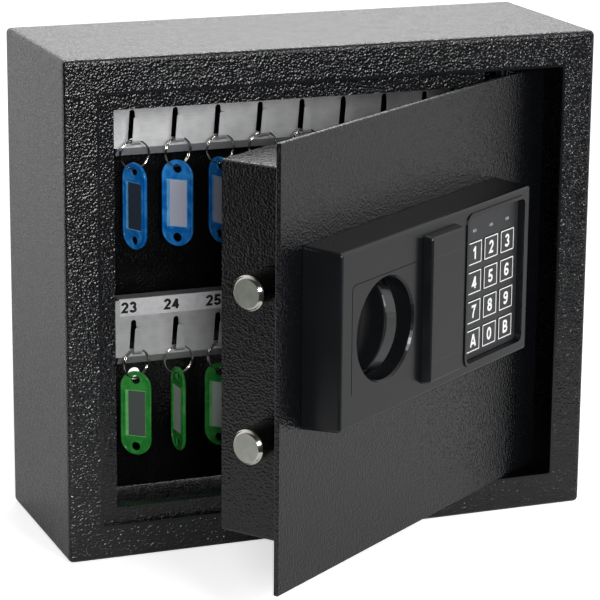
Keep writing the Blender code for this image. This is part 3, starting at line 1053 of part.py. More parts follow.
def ring_points():
    """The centre line of a flat coil about Y, hung from the origin, its ends at one side."""
    count = RING_TURNS * RING_POINTS_PER_TURN - 1
    points = []
    for n in range(count + 1):
        turn = 2 * math.pi * n / RING_POINTS_PER_TURN
        climb = RING_PITCH * (n / RING_POINTS_PER_TURN - RING_TURNS / 2)
        points.append(Vector((RING_RADIUS * math.cos(turn), climb,
                              RING_RADIUS * math.sin(turn) - RING_HANG)))
    return points


def least_ring_gap(points):
    """The narrowest space between wire surfaces of neighbouring turns."""
    apart = RING_POINTS_PER_TURN // 2
    nearest = min((a - b).length for n, a in enumerate(points) for b in points[n + apart:])
    return nearest - RING_WIRE_DIAMETER


def ring_mesh(name):
    """The split ring as one unbroken wire."""
    curve = bpy.data.curves.new(name, "CURVE")
    curve.dimensions = "3D"
    curve.bevel_depth = RING_WIRE_DIAMETER / 2
    curve.bevel_resolution = 1
    curve.use_fill_caps = True
    points = ring_points()
    spline = curve.splines.new("POLY")
    spline.points.add(len(points) - 1)
    for point, place in zip(spline.points, points):
        point.co = (*place, 1)
    return curve_to_mesh(name, curve)


def stadium(width, length, middle, steps=2 * CORNER_STEPS):
    """Points round a strip with round ends, standing on end."""
    radius = width / 2
    loop = []
    for start, level in ((0, length / 2 - radius), (180, radius - length / 2)):
        for step in range(steps + 1):
            angle = math.radians(start + 180 * step / steps)
            loop.append((radius * math.cos(angle), middle + level + radius * math.sin(angle)))
    return loop


TAG_DROP = TAG_LENGTH / 2 - TAG_HOLE_INSET


def tag_mesh(name, thickness, with_holes):
    """The outline of the tag about its upper hole."""
    loops = [stadium(TAG_WIDTH, TAG_LENGTH, -TAG_DROP)]
    if with_holes:
        loops += [circle_loop(TAG_HOLE_DIAMETER, (0, 0), SMALL_ROUND_STEPS),
                  circle_loop(TAG_HOLE_DIAMETER, (0, -2 * TAG_DROP), SMALL_ROUND_STEPS)]
    return outline_mesh(name, loops, thickness)


ring_gap = least_ring_gap(ring_points())
print(f"least gap between the turns of a split ring: {ring_gap * 1000:.2f} mm")
RING_Y = RAIL_FRONT - HOOK_REACH / 2 - SEAT_GAP
TAG_HOLE_BELOW = RING_HANG + RING_INNER + TAG_HOLE_DIAMETER / 2 - TAG_HANG_LIFT
ROOTS = {"top": root_top + HOOK_SHEET, "lower": root_lower + HOOK_SHEET}
for number, (colour, rail_name, hook, ring_turn, tag_turn) in enumerate(TAG_PLACES, 1):
    at = Vector((HOOK_FIRST_X + hook * HOOK_PITCH, RING_Y, ROOTS[rail_name]))
    swing = empty(f"ring_swing_{number}", at)
    ring = link(f"split_ring_{number}", ring_mesh(f"split_ring_{number}"), at, CHROME, swing)
    ring.rotation_euler.z = math.radians(ring_turn)
    hole_at = at - TAG_HOLE_BELOW * TOP_Z + ring.rotation_euler.to_matrix() @ Vector((0, RING_PITCH / 4, 0))
    tag = link(f"tag_{colour}_{number}", tag_mesh(f"tag_{colour}_{number}", TAG_END_THICKNESS, True),
               hole_at,
               BLUE if colour == "blue" else GREEN, swing)
    tag.rotation_euler.z = -math.radians(tag_turn)
    body_height = TAG_LENGTH - 2 * TAG_END_LENGTH
    body = link(f"tag_body_{number}", box_mesh(f"tag_body_{number}",
                                               (TAG_WIDTH, TAG_THICKNESS, body_height),
                                               TAG_EDGE_RADIUS, steps=1), hole_at - TAG_DROP * TOP_Z, None,
                swing)
    body.rotation_euler.z = tag.rotation_euler.z
    combine(tag, body, "UNION")
    window = link(f"tag_window_{number}", box_mesh(f"tag_window_{number}", (
        TAG_WINDOW_WIDTH, 2 * TAG_WINDOW_DEPTH, TAG_WINDOW_HEIGHT)))
    window.parent = tag
    window.location = (0, -TAG_THICKNESS / 2, -TAG_DROP)
    combine(tag, window)
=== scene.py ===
import logging
import math
from dataclasses import dataclass, field
from enum import Enum
from typing import Callable, Sequence

import bmesh
import bpy
from mathutils import Matrix, Vector


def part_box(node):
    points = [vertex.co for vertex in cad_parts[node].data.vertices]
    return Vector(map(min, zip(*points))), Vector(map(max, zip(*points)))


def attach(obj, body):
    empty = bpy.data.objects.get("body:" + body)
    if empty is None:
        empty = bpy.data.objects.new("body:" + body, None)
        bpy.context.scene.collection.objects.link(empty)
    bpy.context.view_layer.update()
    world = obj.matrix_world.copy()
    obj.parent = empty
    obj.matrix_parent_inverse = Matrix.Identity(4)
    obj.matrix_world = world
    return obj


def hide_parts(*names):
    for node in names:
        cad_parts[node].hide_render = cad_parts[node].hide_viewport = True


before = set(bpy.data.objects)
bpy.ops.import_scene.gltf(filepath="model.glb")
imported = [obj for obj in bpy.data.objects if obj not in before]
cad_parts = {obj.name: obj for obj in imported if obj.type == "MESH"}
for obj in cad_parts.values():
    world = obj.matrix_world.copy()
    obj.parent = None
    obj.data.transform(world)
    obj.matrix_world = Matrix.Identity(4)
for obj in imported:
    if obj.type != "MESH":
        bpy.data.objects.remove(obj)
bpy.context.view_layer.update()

log = logging.getLogger("key_cabinet")

Point = tuple[float, float]
Place = tuple[float, float, float]
Colour = tuple[float, float, float, float]
Levels = tuple[tuple[str, object], ...]
Grains = tuple[Point, ...]
Tree, Node, Socket = bpy.types.NodeTree, bpy.types.Node, bpy.types.NodeSocket
Mesh = bpy.types.Mesh

MM = 0.001
FRONT_Y = -120 * MM
FLOOR_Z = -150 * MM
DOOR_HINGE = Vector((110.5 * MM, -109 * MM, 0))
DOOR_OPEN = math.radians(35.3)
DOOR = Matrix.Translation(DOOR_HINGE) @ Matrix.Rotation(DOOR_OPEN, 4, "Z") @ Matrix.Translation(-DOOR_HINGE)
PRINT_THICKNESS = 0.04 * MM
PRINT_LIFT = 0.02 * MM
WELD = 0.001 * MM
MERGE = 0.004 * MM


class TagColour(Enum):
    """The colours that the key tags come in."""

    BLUE = "blue"
    GREEN = "green"


def linear(code: str) -> Colour:
    """Turn an sRGB hex value into a linear colour.

    Args:
        code: the colour as six hex digits, with or without a leading hash.

    Returns:
        Red, green, blue and alpha, each from 0 to 1, in linear light.
    """
    digits = code.lstrip("#")
    channels = (int(digits[n:n + 2], 16) / 255 for n in (0, 2, 4))
    red, green, blue = (c / 12.92 if c <= 0.04045 else ((c + 0.055) / 1.055) ** 2.4 for c in channels)
    return red, green, blue, 1.0


def add_node(tree: Tree, kind: str, inputs: dict | None = None, **settings: object) -> Node:
    """Add a node with its settings, its values and its links.

    Args:
        tree: the node tree that takes the node.
        kind: the shader node's type name, without the ShaderNode before it.
        inputs: socket name or number to a value, or to the output socket that feeds it.
        **settings: properties of the node itself.

    Returns:
        The new node.
    """
    made = tree.nodes.new(f"ShaderNode{kind}")
    for name, value in settings.items():
        setattr(made, name, value)
    for key, value in (inputs or {}).items():
        if isinstance(value, Socket):
            tree.links.new(value, made.inputs[key])
        else:
            made.inputs[key].default_value = value
    return made


def per_metre(size_mm: float) -> float:
    """The texture scale at which one cell of a pattern measures size_mm."""
    return 1 / (size_mm * MM)


@dataclass(frozen=True)
class Pattern:
    """The sockets that a finish follows for its tone, its gloss and its relief."""

    tone: Socket
    gloss: Socket | None = None
    relief: Socket | None = None


@dataclass(frozen=True)
class Finish:
    """A surface finish, named and given a slot name, whose looks follow one pattern.

    The low tone shows where the pattern is low, and the high tone, or else the low one again, where it is
    high. Each tone is multiplied by its gain. Levels are constants on the shader's own sockets.
    """

    name: str
    slot: str
    low: str = "#000000"
    high: str = ""
    gains: Point = (1.0, 1.0)
    stops: Point = (0.3, 0.7)
    roughness: Point | None = None
    depth_mm: float = 0.0
    strength: float = 1.0
    levels: Levels = ()

    def pattern(self, tree: Tree, place: Socket) -> Pattern:
        """Make the nodes that the finish follows, from object coordinates in metres."""
        raise NotImplementedError

    def material(self) -> bpy.types.Material:
        """Make the material, or give the one already made.

        Returns:
            The material that carries this finish.
        """
        held = bpy.data.materials.get(self.name)
        if held is not None:
            return held
        made = bpy.data.materials.new(self.name)
        made.use_nodes = True
        tree = made.node_tree
        shader = tree.nodes["Principled BSDF"]
        follow = self.pattern(tree, add_node(tree, "TexCoord").outputs["Object"])
        tone = add_node(tree, "ValToRGB", {"Fac": follow.tone})
        codes = (self.low, self.high or self.low)
        for element, position, code, gain in zip(tone.color_ramp.elements, self.stops, codes, self.gains):
            element.position = position
            element.color = tuple(min(1.0, gain * c) for c in linear(code)[:3]) + (1.0,)
        tree.links.new(tone.outputs["Color"], shader.inputs["Base Color"])
        if self.roughness:
            gloss = add_node(tree, "MapRange", {
                "Value": follow.gloss, "To Min": self.roughness[0], "To Max": self.roughness[1]})
            tree.links.new(gloss.outputs["Result"], shader.inputs["Roughness"])
        if self.depth_mm:
            bump = add_node(tree, "Bump", {
                "Height": follow.relief, "Strength": self.strength, "Distance": self.depth_mm * MM})
            tree.links.new(bump.outputs["Normal"], shader.inputs["Normal"])
        for socket, value in self.levels:
            shader.inputs[socket].default_value = value
        return made


@dataclass(frozen=True)
class GrainedFinish(Finish):
    """A finish that follows noise: tone and gloss the first grain, and relief, if it has any, the second.

    Each grain is a size in millimetres and a level of detail.
    """

    grains: Grains = ()

    def pattern(self, tree: Tree, place: Socket) -> Pattern:
        """Make a noise for each grain."""
        noises = [add_node(tree, "TexNoise", {
            "Vector": place, "Scale": per_metre(size), "Detail": detail}).outputs["Fac"]
            for size, detail in self.grains]
        return Pattern(noises[0], *noises)


@dataclass(frozen=True)
class HammeredPowderCoat(Finish):
    """Black polyester powder coat on steel, sprayed to a fine hammered skin.

    The eye gets a near-black paint whose closely packed dimples each catch a glint.
    """

    # The low tone sits in the dimples' hollows and the high one on their crests: painted shade in the
    # dimples.
    low: str = "#030304"
    high: str = "#0E0F12"
    stops: Point = (0.1, 0.75)
    roughness: Point | None = (0.18, 0.28)
    depth_mm: float = 0.47
    levels: Levels = (("IOR", 1.52),)
    dimple_mm: float = 1.35
    smoothness: float = 0.6
    warp_size: float = 1.6
    warp_height: float = 0.5
    wander: float = 0.6
    drift_mm: float = 9.0

    def pattern(self, tree: Tree, place: Socket) -> Pattern:
        """Scatter the dimples, which a slow warp pushes out of line, and let the gloss drift; the tone
        follows the dimples, so their hollows carry painted shade.

        Args:
            tree: the material's node tree.
            place: object coordinates in metres.

        Returns:
            The sockets to follow.
        """
        warp = add_node(tree, "TexNoise", {
            "Vector": place, "Scale": per_metre(self.warp_size * self.dimple_mm), "Detail": 1.0})
        reach = (self.wander * self.dimple_mm * MM,) * 3
        shift = add_node(tree, "VectorMath", {0: warp.outputs["Color"], 1: reach, 2: place},
                         operation="MULTIPLY_ADD")
        cells = add_node(tree, "TexVoronoi", {
            "Vector": shift.outputs["Vector"], "Smoothness": self.smoothness,
            "Scale": per_metre(self.dimple_mm)}, feature="SMOOTH_F1")
        drift = add_node(tree, "TexNoise", {
            "Vector": place, "Scale": per_metre(self.drift_mm), "Detail": 3.0})
        # The dimple distance gives both the relief and the painted shade of the hollows.
        dimple_relief_and_painted_shade = cells.outputs["Distance"]
        height = add_node(tree, "Math", {0: warp.outputs["Fac"], 1: self.warp_height, 2: dimple_relief_and_painted_shade},
                          operation="MULTIPLY_ADD")
        return Pattern(dimple_relief_and_painted_shade, drift.outputs["Fac"], height.outputs["Value"])


@dataclass(frozen=True)
class MouldedAbs(GrainedFinish):
    """Black ABS, injection moulded in a lightly spark-eroded tool.

    The eye gets an even satin black with a very fine grain and soft broad highlights.
    """

    low: str = "#0E0F11"
    gains: Point = (1.0, 1.25)
    stops: Point = (0.3, 0.8)
    roughness: Point | None = (0.20, 0.28)
    depth_mm: float = 0.006
    strength: float = 0.5
    levels: Levels = (("Specular IOR Level", 0.38), ("IOR", 1.53))
    grains: Grains = ((30.0, 3.0), (0.45, 2.0))


@dataclass(frozen=True)
class RolledSteel(Finish):
    """Galvanised sheet steel, cold rolled, with its zinc spangle.

    The eye gets a pale grey metal, drawn out in fine lines along the sheet, that mirrors softly. Its thin
    white bloom is not metallic.
    """

    low: str = "#C3C4C6"
    high: str = "#E2E2E2"
    stops: Point = (0.2, 0.8)
    roughness: Point | None = (0.46, 0.58)
    depth_mm: float = 0.0008
    strength: float = 0.5
    levels: Levels = (("Metallic", 0.75),)
    spangle_mm: float = 7.0
    spangle_share: float = 0.35
    line_mm: float = 0.35
    stretch: float = 0.03

    def pattern(self, tree: Tree, place: Socket) -> Pattern:
        """Draw the rolling lines along the sheet, and mix the spangle into its tone.

        Args:
            tree: the material's node tree.
            place: object coordinates in metres.

        Returns:
            The sockets to follow.
        """
        drawn = add_node(tree, "Mapping", {"Vector": place, "Scale": (self.stretch, 1.0, 1.0)})
        lines = add_node(tree, "TexNoise", {
            "Vector": drawn.outputs["Vector"], "Detail": 4.0, "Scale": per_metre(self.line_mm)})
        cells = add_node(tree, "TexVoronoi", {"Vector": place, "Scale": per_metre(self.spangle_mm)})
        both = add_node(tree, "Mix", {
            "Factor": self.spangle_share, "A": lines.outputs["Fac"], "B": cells.outputs["Distance"]},
            data_type="FLOAT")
        return Pattern(both.outputs[0], lines.outputs["Fac"], lines.outputs["Fac"])


@dataclass(frozen=True)
class PlatedMetal(GrainedFinish):
    """Plated or machined metal: bright nickel, blued zinc or turned brass.

    The eye gets a clear reflection that fine marks and handling haze break up.
    """

    low: str = "#C4C1BA"
    high: str = "#D8D5CC"
    roughness: Point | None = (0.08, 0.20)
    depth_mm: float = 0.003
    strength: float = 0.3
    levels: Levels = (("Metallic", 1.0),)
    grains: Grains = ((6.0, 4.0), (0.6, 3.0))


@dataclass(frozen=True)
class OverlayFilm(GrainedFinish):
    """A polycarbonate keypad film, printed on its back and fine matte in front.

    The eye gets a flat charcoal that is a little paler than the housing, with a velvet grain.
    """

    low: str = "#1E1F22"
    gains: Point = (1.0, 1.2)
    stops: Point = (0.35, 0.65)
    roughness: Point | None = (0.44, 0.56)
    depth_mm: float = 0.006
    strength: float = 0.5
    levels: Levels = (("IOR", 1.58),)
    grains: Grains = ((0.3, 2.0), (0.3, 2.0))


@dataclass(frozen=True)
class ScreenInk(GrainedFinish):
    """Screen-printed ink, or a sheet as plain: a dead-flat skin, a little uneven in density."""

    low: str = "#F1F1EE"
    gains: Point = (0.86, 1.0)
    stops: Point = (0.25, 0.6)
    roughness: Point | None = (0.45, 0.60)
    levels: Levels = (("IOR", 1.48),)
    grains: Grains = ((0.8, 2.0),)


@dataclass(frozen=True)
class TagPolypropylene(Finish):
    """Polypropylene, injection moulded in a clear colour.

    The eye gets a saturated plastic that lets a little light through; surfaces turned from the camera take
    the paler tone as a painted highlight on the rims.
    """

    low: str = "#0F6CBC"
    high: str = "#46A8F0"
    stops: Point = (0.4, 0.9)
    roughness: Point | None = (0.14, 0.26)
    levels: Levels = (("Subsurface Weight", 0.25), ("Subsurface Radius", (1.0, 1.0, 1.0)),
                      ("Subsurface Scale", 1.2 * MM), ("IOR", 1.49))
    flow_mm: float = 7.0
    swirl: float = 0.6
    rim_blend: float = 0.25

    def pattern(self, tree: Tree, place: Socket) -> Pattern:
        """Let the tone follow the flow marks, or a painted highlight on surfaces turned from the camera,
        where that is paler.

        Args:
            tree: the material's node tree.
            place: object coordinates in metres.

        Returns:
            The sockets to follow.
        """
        flow = add_node(tree, "TexNoise", {
            "Vector": place, "Scale": per_metre(self.flow_mm), "Detail": 2.0, "Distortion": self.swirl})
        # Painted highlight: surfaces seen edge-on are lifted toward the paler tone.
        painted_rim_highlight = add_node(tree, "LayerWeight", {"Blend": self.rim_blend})
        flow_and_painted_highlight = add_node(tree, "Math", {0: flow.outputs["Fac"], 1: painted_rim_highlight.outputs["Facing"]},
                         operation="MAXIMUM")
        return Pattern(flow_and_painted_highlight.outputs["Value"], flow.outputs["Fac"])


@dataclass(frozen=True)
class FilmedPaper(GrainedFinish):
    """Label paper behind a clear film: matte fibres under a thin glossy skin."""

    low: str = "#D9DAE2"
    gains: Point = (0.9, 1.0)
    stops: Point = (0.3, 0.6)
    levels: Levels = (("Roughness", 0.7), ("Coat Weight", 0.5), ("Coat Roughness", 0.12), ("IOR", 1.5))
    grains: Grains = ((0.5, 5.0),)


@dataclass(frozen=True)
class BoardLaminate(Finish):
    """Glass-fibre circuit board under green solder resist, its copper tracks showing as paler lanes."""

    low: str = "#0F4A24"
    high: str = "#2A7A40"
    stops: Point = (0.0, 1.0)
    levels: Levels = (("Roughness", 0.35), ("Coat Weight", 0.4))
    lane_mm: float = 3.0
    track: float = 0.06

    def pattern(self, tree: Tree, place: Socket) -> Pattern:
        """Lay the lanes of track, which are high, on the resist, which is low."""
        lanes = add_node(tree, "TexBrick", {
            "Vector": place, "Scale": per_metre(self.lane_mm), "Mortar Size": self.track})
        return Pattern(lanes.outputs["Fac"])


@dataclass(frozen=True)
class PrintedWrap(Finish):
    """The printed film round a dry cell block: a dark body with a copper-coloured end band."""

    low: str = "#17181C"
    high: str = "#B8783C"
    stops: Point = (0.0, 1.0)
    levels: Levels = (("Roughness", 0.28),)
    band_above: float = -61.5 * MM

    def pattern(self, tree: Tree, place: Socket) -> Pattern:
        """Tell the band from the body by height."""
        height = add_node(tree, "SeparateXYZ", {"Vector": place}).outputs["Z"]
        return Pattern(add_node(tree, "Math", {0: height, 1: self.band_above},
                                operation="GREATER_THAN").outputs["Value"])


@dataclass(frozen=True)
class TintedLens(GrainedFinish):
    """A tinted acrylic light window, unlit: a grey under a clear polished skin."""

    low: str = "#9A9CA0"
    high: str = "#B8BABD"
    levels: Levels = (("Roughness", 0.15), ("Coat Weight", 0.6))
    grains: Grains = ((0.6, 2.0),)


@dataclass(frozen=True)
class FinishSet:
    """Every finish on the cabinet."""

    coat: Finish = HammeredPowderCoat("hammered_powder_coat", "powder_coat")
    # Inside the cabinet the coat's crests are painted darker than outside: painted shade of the interior. Its
    # dimples are also shallower.
    inner_coat: Finish = HammeredPowderCoat("thin_inner_powder_coat_in_painted_shade", "powder_coat", depth_mm=0.2,
                                            high="#08090A")
    stop_coat: Finish = HammeredPowderCoat("powder_coat_on_stop", "powder_coat", depth_mm=0.36)
    door_coat: Finish = HammeredPowderCoat("flowed_powder_coat_on_door", "powder_coat", depth_mm=0.30)
    fold_coat: Finish = MouldedAbs("smooth_powder_coat_on_fold", "powder_coat",
                                   grains=((30.0, 3.0), (0.9, 2.0)))
    abs_black: Finish = MouldedAbs("satin_black_abs", "satin_abs")
    red: Finish = MouldedAbs("red_button_abs", "button_red", "#8E1414")
    # A lighter, glossier line: painted highlight of the cover's inset outline.
    cover_line: Finish = MouldedAbs("polished_abs_painted_highlight_line", "satin_abs", "#2A2B2E", roughness=(0.12, 0.2))
    sheet: Finish = RolledSteel("galvanised_sheet_steel", "galvanised")
    nickel: Finish = PlatedMetal("bright_nickel_plate", "nickel")
    zinc: Finish = PlatedMetal("zinc_plated_steel", "zinc", "#8C9096", "#A9ACB0", roughness=(0.28, 0.42))
    brass: Finish = PlatedMetal("turned_brass", "brass", "#B58E46", "#C9A255", roughness=(0.2, 0.32))
    blacked: Finish = PlatedMetal("black_oxide_steel", "zinc", "#1C1D20", "#2A2B2E", roughness=(0.30, 0.45))
    faced: Finish = PlatedMetal("faced_nickel_steel", "nickel", "#B4B7AE", "#C9CBC2", roughness=(0.34, 0.46))
    film: Finish = OverlayFilm("keypad_overlay_film", "overlay")
    keycap: Finish = OverlayFilm("keypad_key_film", "keycap", "#212226")
    white_ink: Finish = ScreenInk("white_screen_ink", "overlay")
    black_ink: Finish = ScreenInk("black_screen_ink", "strip_white", "#060607", roughness=(0.6, 0.75))
    strip: Finish = ScreenInk("white_rigid_pvc", "strip_white", "#E4E4E6", roughness=(0.3, 0.4),
                              grains=((3.0, 2.0),))
    blue: Finish = TagPolypropylene("blue_polypropylene", "tag_blue")
    green: Finish = TagPolypropylene("green_polypropylene", "tag_green", "#2A8837", "#52B456")
    pocket_blue: Finish = TagPolypropylene("thin_blue_polypropylene", "tag_blue", "#62B8F2", "#94D4FF")
    pocket_green: Finish = TagPolypropylene("thin_green_polypropylene", "tag_green", "#74D47A", "#A2EAA2")
    label_blue: Finish = FilmedPaper("label_paper_on_blue", "tag_blue", "#BDC0D2")
    label_green: Finish = FilmedPaper("label_paper_on_green", "tag_green", "#C2CCC4")
    # These two are label paper painted darker: painted shade for labels that hang in shade.
    card_blue: Finish = FilmedPaper("label_paper_in_painted_shade_on_blue", "tag_blue", "#2E3A4A")
    card_green: Finish = FilmedPaper("label_paper_in_painted_shade_on_green", "tag_green", "#525A56")
    board: Finish = BoardLaminate("solder_resist_green", "circuit_board")
    wrap: Finish = PrintedWrap("battery_film_wrap", "battery_wrap")
    lens: Finish = TintedLens("clear_light_window", "overlay")

    def of_tag(self, colour: TagColour) -> tuple[Finish, Finish, Finish, Finish]:
        """The plastic, pocket, label and label with painted shade of a tag of this colour."""
        if colour is TagColour.BLUE:
            return self.blue, self.pocket_blue, self.label_blue, self.card_blue
        return self.green, self.pocket_green, self.label_green, self.card_green


FINISHES = FinishSet()


def add_object(name: str, data: bpy.types.ID) -> bpy.types.Object:
    """Put a mesh, curve, lamp or camera into the scene.

    Args:
        name: the object's name.
        data: what it shows.

    Returns:
        The object.
    """
    made = bpy.data.objects.new(name, data)
    bpy.context.scene.collection.objects.link(made)
    return made


def dress(finish: Finish, *node_names: str) -> None:
    """Give CAD nodes their finish.

    Args:
        finish: what they are finished in.
        *node_names: the nodes, by name.
    """
    for name in node_names:
        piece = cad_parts[name]
        if not piece.material_slots:
            piece.data.materials.append(finish.material())
        for held in piece.material_slots:
            held.material = finish.material()
        log.info("dressed %s in %s", name, finish.name)


def shut_box(node: str) -> tuple[Vector, Vector]:
    """Measure a node of the door as it stands when the door is shut.

    Args:
        node: the node's name.

    Returns:
        The lowest and the highest corner of its box.
    """
    back = DOOR.inverted()
    shut = [back @ vertex.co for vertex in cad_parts[node].data.vertices]
    return tuple(Vector([pick(corner[n] for corner in shut) for n in range(3)]) for pick in (min, max))


def on_door(x: float, y: float, z: float) -> Matrix:
    """Where a place of the closed door stands on the open one."""
    return DOOR @ Matrix.Translation((x, y, z))


def place_piece(mesh: Mesh, finish: Finish, body: str, place: Matrix | None = None) -> bpy.types.Object:
    """Put a new piece into the scene on a body, under its mesh's name.

    Args:
        mesh: its mesh.
        finish: what it is finished in.
        body: the CAD body that it moves with.
        place: where the mesh goes, if it isn't there yet.

    Returns:
        The piece.
    """
    if place is not None:
        mesh.transform(place)
    mesh.materials.clear()
    mesh.materials.append(finish.material())
    piece = add_object(mesh.name, mesh)
    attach(piece, body)
    log.info("built %s on %s, %d faces", piece.name, body, len(mesh.polygons))
    return piece


def loops_mesh(name: str, loops: Sequence[Sequence[Point]], thickness: float, bevel: float = 0.0) -> Mesh:
    """Fill flat outlines, the first the outside and the rest holes, and give them a thickness.

    Args:
        name: the mesh's name.
        loops: closed outlines in X and Z.
        thickness: the depth along Y, half to each side.
        bevel: how far the outer edges are rounded.

    Returns:
        The mesh, in the X-Z plane.
    """
    curve = bpy.data.curves.new(name, "CURVE")
    curve.dimensions = "2D"
    curve.fill_mode = "BOTH"
    curve.extrude = thickness / 2 - bevel
    curve.bevel_depth = bevel
    curve.offset = -bevel
    curve.bevel_resolution = 2
    for loop in loops:
        spline = curve.splines.new("POLY")
        spline.points.add(len(loop) - 1)
        for point, (x, z) in zip(spline.points, loop):
            point.co = (x, z, 0, 1)
        spline.use_cyclic_u = True
    return settle(name, curve, Matrix.Rotation(math.pi / 2, 4, "X"))


def cleaned(mesh: Mesh, merge: float = WELD, drop_slivers: bool = False) -> Mesh:
    """Merge the corners of a mesh that meet, and turn its faces outward.

    Args:
        mesh: the mesh.
        merge: how far apart two corners may be that are one.
        drop_slivers: whether edges and faces of no size go as well.

    Returns:
        The same mesh.
    """
    work = bmesh.new()
    work.from_mesh(mesh)
    bmesh.ops.remove_doubles(work, verts=work.verts, dist=merge)
    if drop_slivers:
        bmesh.ops.dissolve_degenerate(work, edges=work.edges, dist=merge)
    bmesh.ops.recalc_face_normals(work, faces=work.faces)
    work.to_mesh(mesh)
    work.free()
    return mesh


def settle(name: str, curve: bpy.types.Curve, turn: Matrix) -> Mesh:
    """Turn a curve or text into a mesh and set it in place.

    Args:
        name: the mesh's name.
        curve: the curve or text.
        turn: where it goes.

    Returns:
        The mesh.
    """
    holder = add_object(name, curve)
    graph = bpy.context.evaluated_depsgraph_get()
    mesh = bpy.data.meshes.new_from_object(holder.evaluated_get(graph))
    mesh.name = name
    bpy.data.objects.remove(holder)
    bpy.data.curves.remove(curve)
    cleaned(mesh).transform(turn)
    return mesh


def arc(middle: Point, radii: Point, start: float, stop: float, steps: int = 14) -> list[Point]:
    """Points along part of an ellipse.

    Args:
        middle: its middle.
        radii: half its width and half its height.
        start: the first angle in degrees.
        stop: the last angle in degrees.
        steps: how many pieces the arc has.

    Returns:
        The points, from the first angle to the last.
    """
    angles = (math.radians(start + (stop - start) * n / steps) for n in range(steps + 1))
    return [(middle[0] + radii[0] * math.cos(a), middle[1] + radii[1] * math.sin(a)) for a in angles]


GLYPH_WIDTH = 0.60
SIX = [arc((0.30, 0.29), (0.205, 0.205), 0, 360, 24), arc((0.335, 0.44), (0.24, 0.475), 196, 42)]
STROKES: dict[str, list[list[Point]]] = {
    "0": [arc((0.30, 0.5), (0.205, 0.415), 0, 360, 28)],
    "1": [[(0.34, 0.0), (0.34, 1.0)], [(0.09, 0.70), (0.20, 0.76), (0.33, 0.90)]],
    "2": [arc((0.30, 0.68), (0.20, 0.235), 172, -32) + [(0.12, 0.085), (0.55, 0.085)]],
    "3": [arc((0.28, 0.705), (0.185, 0.21), 165, -90), arc((0.28, 0.29), (0.215, 0.205), 90, -165)],
    "4": [[(0.41, 0.0), (0.41, 0.93)], [(0.41, 0.93), (0.10, 0.30), (0.58, 0.30)]],
    "5": [[(0.53, 0.915), (0.17, 0.915), (0.13, 0.50)] + arc((0.28, 0.31), (0.215, 0.225), 125, -165)],
    "6": SIX,
    "7": [[(0.05, 0.915), (0.52, 0.915), (0.36, 0.62), (0.27, 0.32), (0.24, 0.0)]],
    "8": [arc((0.30, 0.72), (0.175, 0.195), 0, 360, 24), arc((0.30, 0.29), (0.21, 0.205), 0, 360, 24)],
    "9": [[(GLYPH_WIDTH - x, 1.0 - y) for x, y in stroke] for stroke in SIX],
    "A": [[(0.05, 0.0), (0.33, 0.98)], [(0.63, 0.0), (0.35, 0.98)], [(0.16, 0.27), (0.52, 0.27)]],
    "B": [[(0.12, 0.0), (0.12, 1.0)],
          [(0.12, 0.915)] + arc((0.34, 0.72), (0.165, 0.195), 90, -90) + [(0.12, 0.525)],
          [(0.12, 0.495)] + arc((0.36, 0.29), (0.19, 0.205), 90, -90) + [(0.12, 0.085)]],
}
STROKE_ADVANCE = 0.68
STROKE_MITRE = 0.5
STROKE_MEETS = 0.01


def stroke_mesh(points: Sequence[Point], width: float) -> bmesh.types.BMesh:
    """Draw a line of an even width through points, as a thin slab facing the front.

    Args:
        points: the middle of the line, in X and Z.
        width: how wide the line is.

    Returns:
        The slab.
    """
    work = bmesh.new()
    closed = (Vector(points[0]) - Vector(points[-1])).length < STROKE_MEETS * width
    places = [Vector(point) for point in (points[:-1] if closed else points)]
    rims = []
    for n, place in enumerate(places):
        before = place - places[n - 1] if closed or n else None
        after = places[(n + 1) % len(places)] - place if closed or n + 1 < len(places) else None
        first, second = (before or after).normalized(), (after or before).normalized()
        across = Vector((-first.y - second.y, first.x + second.x)).normalized()
        half = width / 2 / max(STROKE_MITRE, across.dot(Vector((-first.y, first.x))))
        rims.append([work.verts.new((c.x, y, c.y)) for c in (place - half * across, place + half * across)
                     for y in (-PRINT_THICKNESS / 2, PRINT_THICKNESS / 2)])
    pairs = list(zip(rims, rims[1:] + rims[:1])) if closed else list(zip(rims, rims[1:]))
    for a, b in pairs:
        for i, j in ((0, 2), (2, 3), (3, 1), (1, 0)):
            work.faces.new((a[i], a[j], b[j], b[i]))
    if not closed:
        for rim in (rims[0], rims[-1]):
            work.faces.new((rim[0], rim[2], rim[3], rim[1]))
    bmesh.ops.recalc_face_normals(work, faces=work.faces)
    return work


def printed_mesh(name: str, words: str, height: float, line: float, stretch: float) -> Mesh:
    """Printed characters of an even bold line, centred on the origin and facing the front.

    Args:
        name: the mesh's name.
        words: what is printed.
        height: how high the characters are.
        line: the width of the line, as a share of the height.
        stretch: how much wider than usual the characters are drawn.

    Returns:
        The mesh, in the X-Z plane.
    """
    strokes = []
    start = -STROKE_ADVANCE * len(words) / 2 + (STROKE_ADVANCE - GLYPH_WIDTH) / 2
    for n, character in enumerate(words):
        for stroke in STROKES[character]:
            points = [((start + n * STROKE_ADVANCE + x) * stretch * height, (y - 0.5) * height)
                      for x, y in stroke]
            work = stroke_mesh(points, line * height)
            mesh = bpy.data.meshes.new(name)
            work.to_mesh(mesh)
            work.free()
            strokes.append(mesh)
    return joined(name, strokes)


